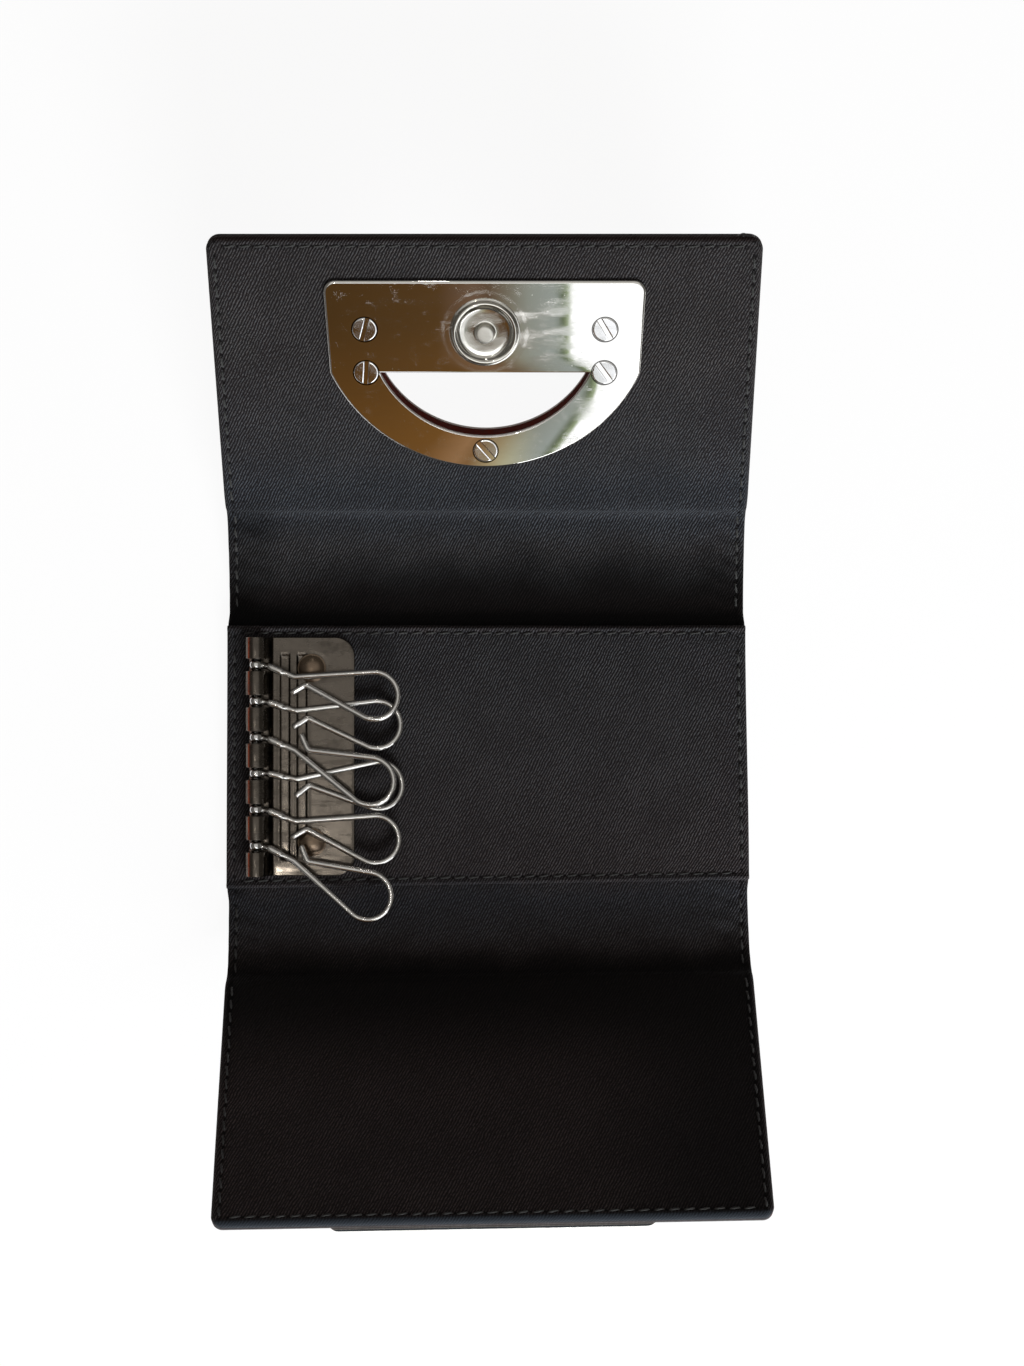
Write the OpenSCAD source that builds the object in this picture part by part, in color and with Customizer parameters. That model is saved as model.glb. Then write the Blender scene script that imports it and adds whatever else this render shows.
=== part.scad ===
// Open key case: a folding leather case with a cloth lining, a rail of key hooks on the
// middle panel, a half-moon plate in the flap and a catch plate on the front panel.
// +Z is up, +Y runs towards the flap, and the origin is under the centre of the middle panel.

/* [Panels] */
// Width of every panel
case_w = 107.5; // [102:0.5:116]
// Length of the middle panel, from fold to fold
middle_l = 54; // [53:0.5:60]
// Length of the upper spine, between the middle panel and the flap
upper_spine_l = 24; // [23.8:0.1:26]
// Length of the flap
flap_l = 58; // [55:0.5:62]
// Length of the lower spine, between the middle panel and the front panel
lower_spine_l = 18; // [16:0.1:18.2]
// Length of the front panel
front_l = 53; // [51:0.5:53.5]
// Radius of the flap's free corners
flap_corner_r = 4.5; // [2:0.5:8]
// Radius of the front panel's free corners
front_corner_r = 2.2; // [1:0.1:6]
// Clear width left at each fold
fold_gap = 0.8; // [0.6:0.1:1.2]

/* [Layers] */
// Thickness of the leather cover
cover_t = 1; // [0.8:0.1:1.2]
// Thickness of the cloth lining
lining_t = 0.5; // [0.4:0.1:0.7]
// Thickness of the stiffening boards in the flap and the front panel
board_t = 1.6; // [1.2:0.1:1.8]
// Thickness of the stiffening board in the middle panel
middle_board_t = 1.1; // [0.8:0.1:1.4]
// Width of the rim left free round each board
board_margin = 1.6; // [1:0.1:3]
// Radius of the folded hems on the middle panel
hem_r = 0.7; // [0.5:0.05:0.75]

/* [Stitching] */
// Distance from the panels' edges to the stitches
stitch_inset = 1.6; // [1.6:0.05:2.2]
// Distance from one stitch to the next
stitch_pitch = 2.9; // [2.5:0.1:3.4]
// Length of a stitch
stitch_l = 2.1; // [1.6:0.1:2.3]
// Width of a stitch
stitch_w = 0.5; // [0.3:0.05:0.5]
// Height of a stitch above the cloth
stitch_h = 0.25; // [0.15:0.05:0.3]

/* [Rest pose] */
// Slope of the upper spine
upper_spine_a = 8; // [4:1:12]
// Slope of the flap
flap_a = 29.5; // [20:0.5:35]
// Slope of the lower spine
lower_spine_a = 12; // [6:1:14]
// Slope of the front panel
front_a = 33; // [20:1:38]

/* [Half-moon plate] */
// Width of the plate along its straight edge
plate_w = 63.1; // [60:0.1:66]
// Width to which the sides draw in at the foot of the plate
plate_foot_w = 60.4; // [58:0.1:62]
// Length of the plate from the straight edge to the foot of the arc
plate_l = 39.5; // [38:0.5:42]
// Radius of the arc
plate_arc_r = 33.6; // [33:0.1:35]
// Radius of the two corners
plate_corner_r = 2.4; // [1.5:0.1:4]
// Thickness of the plate
plate_t = 0.8; // [0.6:0.1:0.9]
// Height of the bevel along the plate's edge
plate_bevel = 0.35; // [0.2:0.05:0.5]
// Distance from the flap's free edge to the plate's straight edge
plate_inset = 8.3; // [7:0.1:10]
// Thickness of the outer frame
frame_t = 1.2; // [1:0.1:1.5]

/* [Window] */
// Distance from the plate's straight edge to the window
window_drop = 18.9; // [18.5:0.1:20]
// Length of the window from its straight edge to the foot of its arc
window_l = 13.7; // [11:0.1:14]
// Radius of the window's arc
window_arc_r = 22.9; // [20:0.1:24]
// Wall of the collar that lines the window
collar_wall = 0.9; // [0.7:0.1:1.1]

/* [Plate screws] */
// Diameter of a screw head
screw_head_d = 4.9; // [4.4:0.1:5.2]
// Diameter of a screw shank
screw_shank_d = 2; // [1.6:0.1:2.2]
// Diameter of the bosses that take the screws
boss_d = 3.6; // [3.4:0.1:4.2]
// Length of a screw below its head
screw_shank_l = 3.2; // [2.4:0.1:3.4]
// Width of the slot in a screw head
screw_slot_w = 0.8; // [0.5:0.1:1]
// Depth of the slot in a screw head
screw_slot_d = 0.35; // [0.2:0.05:0.4]
// Half of the spacing of the paired screws
screw_half_gap = 23.7; // [23:0.1:24.5]
// Distance from the plate's straight edge to the upper screws
screw_upper_drop = 9.9; // [9:0.1:11]
// Distance from the plate's straight edge to the lower screws
screw_lower_drop = 18.9; // [18:0.1:20]
// Distance from the plate's straight edge to the foot screw
screw_foot_drop = 35.7; // [35.5:0.1:36]

/* [Snap] */
// Distance from the plate's straight edge to the snap
snap_drop = 10.45; // [10:0.05:11]
// Diameter of the snap's raised rim
snap_rim_d = 12.9; // [12.5:0.1:13.5]
// Thickness of the raised rim
snap_rim_wall = 1; // [0.8:0.1:1.1]
// Height of the raised rim above the plate
snap_rim_h = 1; // [0.8:0.05:1.1]
// Diameter of the centre post
snap_post_d = 3.9; // [3.6:0.1:4]
// Height of the centre post above the plate
snap_post_h = 1.7; // [1.5:0.1:1.9]
// Diameter of the socket cap that the rim closes over
socket_d = 10.2; // [9.8:0.1:10.4]
// Height of the socket cap above the catch plate
socket_h = 0.9; // [0.8:0.05:0.95]

/* [Catch plate] */
// Width of the catch plate
catch_w = 64; // [60:0.1:66]
// Distance from the snap's socket to the foot of the catch plate
catch_foot = 7.45; // [7:0.05:9]
// Radius of the catch plate's arc
catch_arc_r = 34.5; // [34:0.1:36]
// Thickness of the catch plate
catch_t = 0.7; // [0.6:0.05:0.8]
// How far the catch plate stands past the front panel's edge
catch_lip = 0.6; // [0.3:0.1:1]

/* [Hook rail] */
// Distance from the case's side edge to the centre of the rail's tube
tube_inset = 6.05; // [5:0.05:8]
// Outer diameter of the rolled tube
tube_d = 4.4; // [4.3:0.1:4.8]
// Thickness of the rail's sheet metal
rail_t = 0.7; // [0.6:0.05:0.75]
// Length left between each end of the rail and the panel's edge
rail_end_gap = 2.2; // [2.2:0.1:4]
// Distance from the case's middle to the rail's middle, towards the front panel
rail_shift = 0.3; // [0:0.05:0.3]
// Width of the rail's plate, from the tube's centre
rail_w = 20.3; // [19:0.1:22]
// Radius of the rail plate's free corners
rail_corner_r = 4; // [2:0.5:6]
// Distance between hooks
hook_pitch = 7.5; // [7.4:0.05:7.6]
// Width of the slots in the tube
slot_w = 2.4; // [2.3:0.05:2.5]
// Diameter of the rail's rivet heads
rivet_head_d = 5.9; // [5:0.1:6.2]
// Height of the rail's rivet heads
rivet_head_h = 1.1; // [0.8:0.1:1.2]
// Diameter of the rivet shanks
rivet_shank_d = 2.5; // [2:0.1:2.8]
// Distance from the rail's ends to the rivets
rivet_inset = 6.7; // [5:0.1:7]
// Distance from the tube's centre to the rivets
rivet_drop = 11.4; // [11:0.1:12]

/* [Hooks] */
// Diameter of the hook wire
wire_d = 1.16; // [1:0.02:1.2]
// Diameter of the thick part of a hook's shank
shank_d = 1.56; // [1.3:0.02:1.6]
// Diameter of the ball at the end of a hook
ball_d = 2.8; // [2.6:0.05:2.9]
// Distance from the ball to the bend at the end of the shank
shank_reach = 7.9; // [7.6:0.1:8.2]
// Sideways step of the wire between the ball and the arm
shank_step = 3; // [2.8:0.1:3.2]
// Distance from the ball to the centre of the loop
loop_reach = 24.2; // [23.5:0.1:24.6]
// Radius of the loop, to the middle of the wire
loop_r = 4.9; // [4.6:0.1:5]
// Distance from the end of the shank to the pinch, where the wire turns out
pinch_reach = 2.2; // [2:0.1:2.4]
// Slope of the wire that returns from the loop
return_a = 33.6; // [33:0.1:34]
// Length of the turned-out tip
tip_l = 3.6; // [3:0.1:4]
// Slope of the turned-out tip
tip_a = 26.6; // [20:0.1:35]

/* [Hidden] */

leather = [0.07, 0.07, 0.075];
cloth = [0.12, 0.125, 0.135];
thread = [0.24, 0.24, 0.2];
board = [0.56, 0.46, 0.34];
polished = [0.8, 0.79, 0.76];
pewter = [0.42, 0.4, 0.37];
bright = [0.74, 0.74, 0.73];
fine_share = 96;
small_share = 48;

overrun = 1;
bite = 0.1;
clear = 0.05;
loose = 0.1;
spine_t = cover_t + lining_t;
panel_t = cover_t + board_t + lining_t;
middle_t = cover_t + 2 * lining_t + middle_board_t;
middle_hinge_y = middle_l / 2 + fold_gap / 2;
plate_edge_y = flap_l - plate_inset;
snap_y = plate_edge_y - snap_drop;
// Folded shut, the flap's snap lies over this place on the front panel.
socket_y = 2 * middle_hinge_y - snap_y;
catch_edge_y = front_l + catch_lip;
catch_l = catch_edge_y - socket_y + catch_foot;
snap_shank_d = 3.8;
snap_clinch_d = 6;
post_chamfer = 0.5;
snap_clinch_t = 0.3;
snap_foot_d = 14;
snap_foot_t = 0.12;
socket_skin = 0.22;
socket_shank_d = 5.2;
socket_clinch_d = 7;
// Shut, the two plates face each other across this gap.
shut_gap = upper_spine_l - lower_spine_l - panel_t - plate_t - catch_t;
socket_bore_l = socket_h + snap_post_h - shut_gap + loose;
spring_d = 0.36;
spring_l = 6.4;
prong_w = 2.4;
prong_t = 0.5;
prong_l = cover_t + board_t / 2;
// Places of the catch plate's prongs, as shares of its half width and its length.
prong_shares = [[-0.86, 0.06], [0.86, 0.06], [-0.7, 0.62], [0.7, 0.62]];

tube_r = tube_d / 2;
bore_r = tube_r - rail_t;
tube_z = middle_t + tube_r;
rail_top = middle_t + rail_t;
seam_h = 0.3;
tube_x = case_w / 2 - tube_inset;
rail_l = middle_l - 2 * rail_end_gap;
rail_y0 = -rail_l / 2 - rail_shift;
groove_r = 0.28;
groove_sink = 0.18;
// Distances of the pressed grooves from the tube's centre, as shares of the rail's width.
groove_shares = [0.25, 0.335, 0.415];
groove_end = 3.4;
rivet_ys = [rivet_inset - rail_l / 2, rail_l / 2 - rivet_inset];
rivet_flange_d = 4;
rivet_flange_t = 0.2;
washer_d = 6.4;
washer_t = 0.28;
rivet_x = rivet_drop - tube_x;
hem_lift = 0.35;
stub_l = 2.6;
shank_end = 5.6;
wire_gap = 0.03;
gate_gap = 0.49;
bend_r = 1.2;
wire_sides = 10;
loop_steps = 18;
bend_steps = 4;

// Each hook: way of the arm, side that its loop lies on, rise, way of the stub.
hook_arm_angles = [3.6, 7, -38.9, 12.4, 4, -41.8];
hook_side_shares = [1, 1, -1, 1, 1, -1];
hook_rise_angles = [3.2, -2.2, 3.9, -2.2, -0.5, 3.9];
hook_stub_angles = [-6, -6, -8, 0, -6, -9];
hook_count = len(hook_arm_angles);

// Outline of a half-moon, with its straight edge on the X axis and its arc towards -Y.
module half_moon(w, foot_w, l, arc_r, corner_r, inset) {
  half = w / 2 - inset;
  foot = foot_w / 2 - inset;
  corner = corner_r - inset;
  intersection() {
    translate([0, arc_r - l]) circle(r = arc_r - inset, $fn = fine_share);
    union() {
      polygon([
        [corner - half, -inset], [half - corner, -inset], [half, -corner_r], [foot, -l],
        [-foot, -l], [-half, -corner_r]
      ]);
      for (side = [-1, 1])
        translate([side * (half - corner), -corner_r]) circle(r = corner, $fn = small_share);
    }
  }
}

module plate_outline(inset = 0) {
  half_moon(plate_w, plate_foot_w, plate_l, plate_arc_r, plate_corner_r, inset);
}

// Window in the plate, enlarged by grow on all sides.
module window_outline(grow = 0) {
  intersection() {
    translate([0, window_arc_r - window_drop - window_l])
      circle(r = window_arc_r + grow, $fn = fine_share);
    translate([-plate_w / 2, -plate_l]) square([plate_w, plate_l - window_drop + grow]);
  }
}

module screw_places() {
  for (side = [-1, 1]) {
    translate([side * screw_half_gap, -screw_upper_drop, 0]) children();
    translate([side * screw_half_gap, -screw_lower_drop, 0]) children();
  }
  translate([0, -screw_foot_drop, 0]) children();
}

// Each panel is drawn flat, with its fold on the X axis, its outer face at zero height and
// the panel running towards +Y, and then takes its place and slope.
module on_upper_spine() {
  translate([0, middle_hinge_y, spine_t]) rotate([upper_spine_a, 0, 0])
    translate([0, 0, -spine_t]) children();
}

module on_flap() {
  on_upper_spine() translate([0, upper_spine_l, spine_t])
    rotate([flap_a - upper_spine_a, 0, 0]) translate([0, 0, -spine_t]) children();
}

module on_lower_spine() {
  mirror([0, 1, 0]) translate([0, middle_hinge_y, spine_t]) rotate([lower_spine_a, 0, 0])
    translate([0, 0, -spine_t]) children();
}

module on_front() {
  on_lower_spine() translate([0, lower_spine_l, spine_t])
    rotate([front_a - lower_spine_a, 0, 0]) translate([0, 0, -spine_t]) children();
}

module slab(low, high, y0, y1, inset = 0) {
  translate([inset - case_w / 2, y0, low]) cube([case_w - 2 * inset, y1 - y0, high - low]);
}

// A panel layer with its two free corners rounded.
module leaf(low, high, l, corner_r, inset) {
  start = fold_gap / 2 + inset;
  end = l - inset;
  half = case_w / 2 - inset;
  r = corner_r - inset / 2;
  translate([0, 0, low]) linear_extrude(high - low) union() {
    translate([-half, start]) square([2 * half, end - r - start]);
    translate([r - half, end - r]) square([2 * (half - r), r]);
    for (side = [-1, 1])
      translate([side * (half - r), end - r]) circle(r = r, $fn = small_share);
  }
}

// What the plate, its frame, its screws and the snap need out of a layer of the flap.
module flap_openings(low, high) {
  translate([0, plate_edge_y, low - overrun]) {
    linear_extrude(high - low + 2 * overrun) window_outline(collar_wall + loose);
    screw_places() cylinder(d = boss_d + 2 * loose, h = high - low + 2 * overrun,
      $fn = small_share);
  }
}

// Room in the lining for the flange that holds the snap.
module snap_pocket() {
  translate([0, snap_y, panel_t - lining_t - bite])
    cylinder(d = snap_clinch_d + 2 * loose, h = lining_t + overrun, $fn = small_share);
}

module flap_cover() {
  color(leather) on_flap() difference() {
    leaf(0, cover_t, flap_l, flap_corner_r, 0);
    flap_openings(0, cover_t);
  }
}

module flap_board() {
  color(board) on_flap() difference() {
    leaf(cover_t, cover_t + board_t, flap_l, flap_corner_r, board_margin);
    flap_openings(cover_t, cover_t + board_t);
  }
}

// The lining comes down round the board and meets the cover at the rim.
module flap_lining() {
  color(cloth) on_flap() difference() {
    leaf(cover_t, panel_t, flap_l, flap_corner_r, 0);
    leaf(cover_t - overrun, cover_t + board_t, flap_l, flap_corner_r, board_margin - clear);
    flap_openings(cover_t, panel_t);
    snap_pocket();
  }
}

// Stitches in a line along X, as many as fit a length, on the surface at zero height.
module stitch_row(length) {
  count = floor(length / stitch_pitch);
  for (k = [0 : count - 1])
    translate([(k - (count - 1) / 2) * stitch_pitch - stitch_l / 2, -stitch_w / 2, 0])
      cube([stitch_l, stitch_w, stitch_h]);
}

// Stitches along both sides of a panel, between two distances from its fold.
module side_stitches(y0, y1) {
  for (side = [-1, 1])
    translate([side * (case_w / 2 - stitch_inset), (y0 + y1) / 2, 0]) rotate([0, 0, 90])
      stitch_row(y1 - y0);
}

// Stitches round a panel's two sides and its free edge.
module edge_stitches(l, corner_r) {
  side_stitches(fold_gap, l - stitch_inset - corner_r);
  translate([0, l - stitch_inset, 0]) stitch_row(case_w - 2 * stitch_inset - 2 * corner_r);
}

module flap_stitching() {
  color(thread) on_flap() translate([0, 0, panel_t]) edge_stitches(flap_l, flap_corner_r);
}

module flap_plate() {
  color(polished) on_flap() translate([0, plate_edge_y, panel_t]) difference() {
    union() {
      linear_extrude(plate_t - plate_bevel) plate_outline();
      translate([0, 0, plate_t - plate_bevel]) linear_extrude(plate_bevel)
        plate_outline(plate_bevel);
    }
    translate([0, 0, -overrun]) linear_extrude(plate_t + 2 * overrun) window_outline();
    screw_places() screw_body(clear);
    translate([0, -snap_drop, -overrun])
      cylinder(d = snap_shank_d + 2 * clear, h = plate_t + 2 * overrun, $fn = small_share);
  }
}

// Outer frame, with a collar that lines the window and bosses that take the screws.
module flap_frame() {
  color(polished) on_flap() translate([0, plate_edge_y, 0]) difference() {
    union() {
      translate([0, 0, plate_bevel - frame_t]) linear_extrude(frame_t - plate_bevel)
        plate_outline();
      translate([0, 0, -frame_t]) linear_extrude(plate_bevel) plate_outline(plate_bevel);
      linear_extrude(panel_t) difference() {
        window_outline(collar_wall);
        window_outline();
      }
      screw_places() cylinder(d = boss_d, h = panel_t, $fn = small_share);
    }
    translate([0, 0, -frame_t - overrun])
      linear_extrude(panel_t + frame_t + 2 * overrun) window_outline();
    screw_places() translate([0, 0, panel_t - screw_shank_l - loose])
      cylinder(d = screw_shank_d + 2 * clear, h = screw_shank_l + overrun, $fn = small_share);
  }
}

// Countersunk screw, its head flush with the plate's top, grown by gap on all sides.
module screw_body(gap = 0) {
  cylinder(d1 = screw_shank_d + 2 * gap, d2 = screw_head_d + 2 * gap, h = plate_t,
    $fn = small_share);
  translate([0, 0, -screw_shank_l])
    cylinder(d = screw_shank_d + 2 * gap, h = screw_shank_l + bite, $fn = small_share);
  if (gap > 0)
    translate([0, 0, plate_t - clear])
      cylinder(d = screw_head_d + 2 * gap, h = overrun, $fn = small_share);
}

screw_turn_angles = [-15, -5, 30, 35, 40];

module one_screw(turn) {
  difference() {
    screw_body();
    rotate([0, 0, turn]) translate([-screw_slot_w / 2, -screw_head_d, plate_t - screw_slot_d])
      cube([screw_slot_w, 2 * screw_head_d, overrun]);
  }
}

module flap_screws() {
  color(bright) on_flap() translate([0, plate_edge_y, panel_t]) {
    translate([-screw_half_gap, -screw_upper_drop, 0]) one_screw(screw_turn_angles[0]);
    translate([-screw_half_gap, -screw_lower_drop, 0]) one_screw(screw_turn_angles[1]);
    translate([screw_half_gap, -screw_upper_drop, 0]) one_screw(screw_turn_angles[2]);
    translate([screw_half_gap, -screw_lower_drop, 0]) one_screw(screw_turn_angles[3]);
    translate([0, -screw_foot_drop, 0]) one_screw(screw_turn_angles[4]);
  }
}

// Raised rim, dished inside, with a rounded post, clinched behind the plate.
module snap_stud() {
  color(bright) on_flap() translate([0, snap_y, panel_t + plate_t]) {
    difference() {
      union() {
        cylinder(d = snap_foot_d, h = snap_foot_t, $fn = fine_share);
        cylinder(d = snap_rim_d, h = snap_rim_h, $fn = fine_share);
      }
      translate([0, 0, snap_foot_t])
        cylinder(d = snap_rim_d - 2 * snap_rim_wall, h = snap_rim_h + overrun,
          $fn = fine_share);
    }
    cylinder(d = snap_post_d, h = snap_post_h - post_chamfer, $fn = small_share);
    translate([0, 0, snap_post_h - post_chamfer])
      cylinder(d1 = snap_post_d, d2 = snap_post_d - 2 * post_chamfer, h = post_chamfer,
        $fn = small_share);
    translate([0, 0, -plate_t - snap_clinch_t])
      cylinder(d = snap_shank_d, h = plate_t + snap_clinch_t + snap_foot_t / 2,
        $fn = small_share);
    translate([0, 0, -plate_t - snap_clinch_t])
      cylinder(d = snap_clinch_d, h = snap_clinch_t, $fn = small_share);
  }
}

module upper_spine_cover() {
  color(leather) on_upper_spine() slab(0, cover_t, fold_gap / 2, upper_spine_l - fold_gap / 2);
}

module upper_spine_lining() {
  color(cloth) on_upper_spine()
    slab(cover_t, spine_t, fold_gap / 2, upper_spine_l - fold_gap / 2);
}

module upper_spine_stitching() {
  color(thread) on_upper_spine() translate([0, 0, spine_t])
    side_stitches(fold_gap, upper_spine_l - fold_gap);
}

module middle_cover() {
  color(leather) slab(0, cover_t, -middle_l / 2, middle_l / 2);
}

module rivet_spots() {
  for (y = rivet_ys) translate([rivet_x, y, 0]) children();
}

module middle_lining() {
  color(cloth) difference() {
    slab(cover_t, spine_t, -middle_l / 2, middle_l / 2);
    rivet_spots() translate([0, 0, cover_t - overrun])
      cylinder(d = washer_d + 2 * loose, h = lining_t + 2 * overrun, $fn = small_share);
  }
}

module middle_board() {
  color(board) difference() {
    slab(spine_t, spine_t + middle_board_t, board_margin - middle_l / 2,
      middle_l / 2 - board_margin, board_margin);
    rivet_spots() translate([0, 0, spine_t - overrun])
      cylinder(d = rivet_shank_d + 2 * clear, h = middle_board_t + 2 * overrun,
        $fn = small_share);
  }
}

// Cloth panel that wraps the middle board, with a rolled hem along both folds.
module middle_panel() {
  color(cloth) difference() {
    union() {
      slab(spine_t, middle_t, -middle_l / 2, middle_l / 2);
      for (side = [-1, 1])
        translate([-case_w / 2, side * (middle_l / 2 - hem_r), middle_t + hem_lift - hem_r])
          rotate([0, 90, 0]) cylinder(r = hem_r, h = case_w, $fn = small_share);
    }
    slab(spine_t - overrun, spine_t + middle_board_t, board_margin - clear - middle_l / 2,
      middle_l / 2 - board_margin + clear, board_margin - clear);
    slab(-overrun, spine_t, -middle_l, middle_l);
    rivet_spots() cylinder(d = rivet_shank_d + 2 * clear, h = middle_t + overrun,
      $fn = small_share);
  }
}

// Stitches along both hems and both sides of the middle panel.
module panel_stitching() {
  row_y = middle_l / 2 - stitch_inset;
  color(thread) translate([0, 0, middle_t]) {
    side_stitches(stitch_pitch - row_y, row_y - stitch_pitch);
    for (side = [-1, 1])
      translate([0, side * row_y, 0]) stitch_row(case_w - 2 * stitch_inset);
  }
}

module lower_spine_cover() {
  color(leather) on_lower_spine() slab(0, cover_t, fold_gap / 2, lower_spine_l - fold_gap / 2);
}

module lower_spine_lining() {
  color(cloth) on_lower_spine()
    slab(cover_t, spine_t, fold_gap / 2, lower_spine_l - fold_gap / 2);
}

module lower_spine_stitching() {
  color(thread) on_lower_spine() translate([0, 0, spine_t])
    side_stitches(fold_gap, lower_spine_l - fold_gap);
}

module prong_places() {
  for (p = prong_shares)
    translate([p[0] * catch_w / 2, catch_edge_y - p[1] * catch_l, 0]) children();
}

// Openings in the front panel's layers for the catch plate's prongs and the snap's shank.
module front_openings() {
  prong_places() translate([-prong_w / 2 - loose, -prong_t / 2 - loose, -overrun])
    cube([prong_w + 2 * loose, prong_t + 2 * loose, prong_l + loose + overrun]);
  translate([0, socket_y, -overrun])
    cylinder(d = socket_clinch_d + 2 * loose, h = overrun + cover_t, $fn = small_share);
}

module front_cover() {
  color(leather) on_front() difference() {
    leaf(0, cover_t, front_l, front_corner_r, 0);
    front_openings();
  }
}

module front_board() {
  color(board) on_front() difference() {
    leaf(cover_t, cover_t + board_t, front_l, front_corner_r, board_margin);
    front_openings();
  }
}

module front_lining() {
  color(cloth) on_front() difference() {
    leaf(cover_t, panel_t, front_l, front_corner_r, 0);
    leaf(cover_t - overrun, cover_t + board_t, front_l, front_corner_r, board_margin - clear);
  }
}

module front_stitching() {
  color(thread) on_front() translate([0, 0, panel_t])
    edge_stitches(front_l, flap_corner_r);
}

// Half-moon on the outside of the front panel, held by prongs through the leather.
module catch_plate() {
  color(polished) on_front() difference() {
    union() {
      translate([0, catch_edge_y, -catch_t]) linear_extrude(catch_t)
        half_moon(catch_w, plate_foot_w, catch_l, catch_arc_r, plate_corner_r, 0);
      prong_places() translate([-prong_w / 2, -prong_t / 2, -catch_t / 2])
        cube([prong_w, prong_t, prong_l + catch_t / 2]);
    }
    translate([0, socket_y, -catch_t - overrun])
      cylinder(d = socket_shank_d + 2 * clear, h = catch_t + 2 * overrun,
        $fn = small_share);
  }
}

// Cap that the snap's rim closes over, with a hole for the post and a shank behind.
module snap_socket() {
  color(bright) on_front() translate([0, socket_y, -catch_t]) mirror([0, 0, 1])
    difference() {
      union() {
        cylinder(d = socket_d, h = socket_h, $fn = fine_share);
        translate([0, 0, -catch_t - snap_clinch_t])
          cylinder(d = socket_shank_d, h = catch_t + snap_clinch_t + socket_skin,
            $fn = small_share);
        translate([0, 0, -catch_t - snap_clinch_t])
          cylinder(d = socket_clinch_d, h = snap_clinch_t, $fn = small_share);
      }
      translate([0, 0, socket_skin])
        cylinder(d = socket_d - 4 * socket_skin, h = socket_h - 2 * socket_skin,
          $fn = fine_share);
      translate([0, 0, socket_h - socket_bore_l])
        cylinder(d = snap_post_d + 2 * loose, h = socket_bore_l + overrun,
          $fn = small_share);
    }
}

// Two straight wires in the socket that grip the post.
module snap_spring() {
  color(bright) on_front() for (side = [-1, 1])
    translate([side * (snap_post_d + spring_d) / 2 + side * 2 * clear, socket_y - spring_l / 2,
      -catch_t - socket_h / 2])
      rotate([-90, 0, 0]) cylinder(d = spring_d, h = spring_l, $fn = small_share);
}

// Pressed sheet: a plate with one edge rolled into a slotted tube.
module hook_rail() {
  color(pewter) translate([-tube_x, 0, 0]) difference() {
    union() {
      translate([0, rail_y0, tube_z]) rotate([-90, 0, 0])
        cylinder(r = tube_r, h = rail_l, $fn = fine_share);
      translate([0, rail_y0, middle_t]) cube([rail_w - rail_corner_r, rail_l, rail_t]);
      translate([0, rail_y0 + rail_corner_r, middle_t])
        cube([rail_w, rail_l - 2 * rail_corner_r, rail_t]);
      for (y = [rail_y0 + rail_corner_r, rail_y0 + rail_l - rail_corner_r])
        translate([rail_w - rail_corner_r, y, middle_t])
          cylinder(r = rail_corner_r, h = rail_t, $fn = small_share);
    }
    translate([0, rail_y0 - overrun, tube_z]) rotate([-90, 0, 0])
      cylinder(r = bore_r, h = rail_l + 2 * overrun, $fn = fine_share);
    // Seam where the rolled edge comes back down to the plate.
    translate([0, rail_y0 - overrun, rail_top]) cube([tube_d, rail_l + 2 * overrun, seam_h]);
    for (i = [0 : hook_count - 1])
      translate([-tube_d, hook_y(i) - slot_w / 2, rail_top]) cube([2 * tube_d, slot_w, 2 * tube_d]);
    for (share = groove_shares)
      translate([share * rail_w, rail_y0 + groove_end, rail_top + groove_r - groove_sink])
        rotate([-90, 0, 0])
          cylinder(r = groove_r, h = rail_l - 2 * groove_end, $fn = small_share);
    for (y = rivet_ys)
      translate([rivet_drop, y, 0])
        cylinder(d = rivet_shank_d + 2 * clear, h = rail_top + overrun, $fn = small_share);
  }
}

module rail_rivets() {
  dome_r = (rivet_head_d * rivet_head_d / 4 + rivet_head_h * rivet_head_h) / 2 / rivet_head_h;
  color(pewter) rivet_spots() {
    intersection() {
      translate([0, 0, rail_top + rivet_head_h - dome_r])
        sphere(r = dome_r, $fn = fine_share);
      translate([0, 0, rail_top]) cylinder(d = 2 * rivet_head_d, h = 2 * rivet_head_h);
    }
    translate([0, 0, cover_t]) cylinder(d = rivet_shank_d, h = rail_top - cover_t + rivet_flange_t,
      $fn = small_share);
    translate([0, 0, cover_t]) cylinder(d = rivet_flange_d, h = rivet_flange_t,
      $fn = small_share);
  }
}

module rivet_washers() {
  color(pewter) rivet_spots() translate([0, 0, cover_t + rivet_flange_t]) difference() {
    cylinder(d = washer_d, h = washer_t, $fn = small_share);
    translate([0, 0, -overrun])
      cylinder(d = rivet_shank_d + 2 * clear, h = washer_t + 2 * overrun, $fn = small_share);
  }
}

function hook_y(i) = ((hook_count - 1) / 2 - i) * hook_pitch;

function turn(p, a) = [p[0] * cos(a) - p[1] * sin(a), p[0] * sin(a) + p[1] * cos(a)];

// Points of a round of radius r that blends the corner b between a and c.
function blend(a, b, c, r) =
  let (
    u = (a - b) / norm(a - b), v = (c - b) / norm(c - b),
    half = acos(u * v) / 2, back = r / tan(half), mid = (u + v) / norm(u + v),
    centre = b + mid * (r / sin(half)), from = b + u * back - centre, to = b + v * back - centre
  )
  [for (k = [0 : bend_steps])
    let (m = from * (bend_steps - k) + to * k) centre + m * (r / norm(m))];

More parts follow.
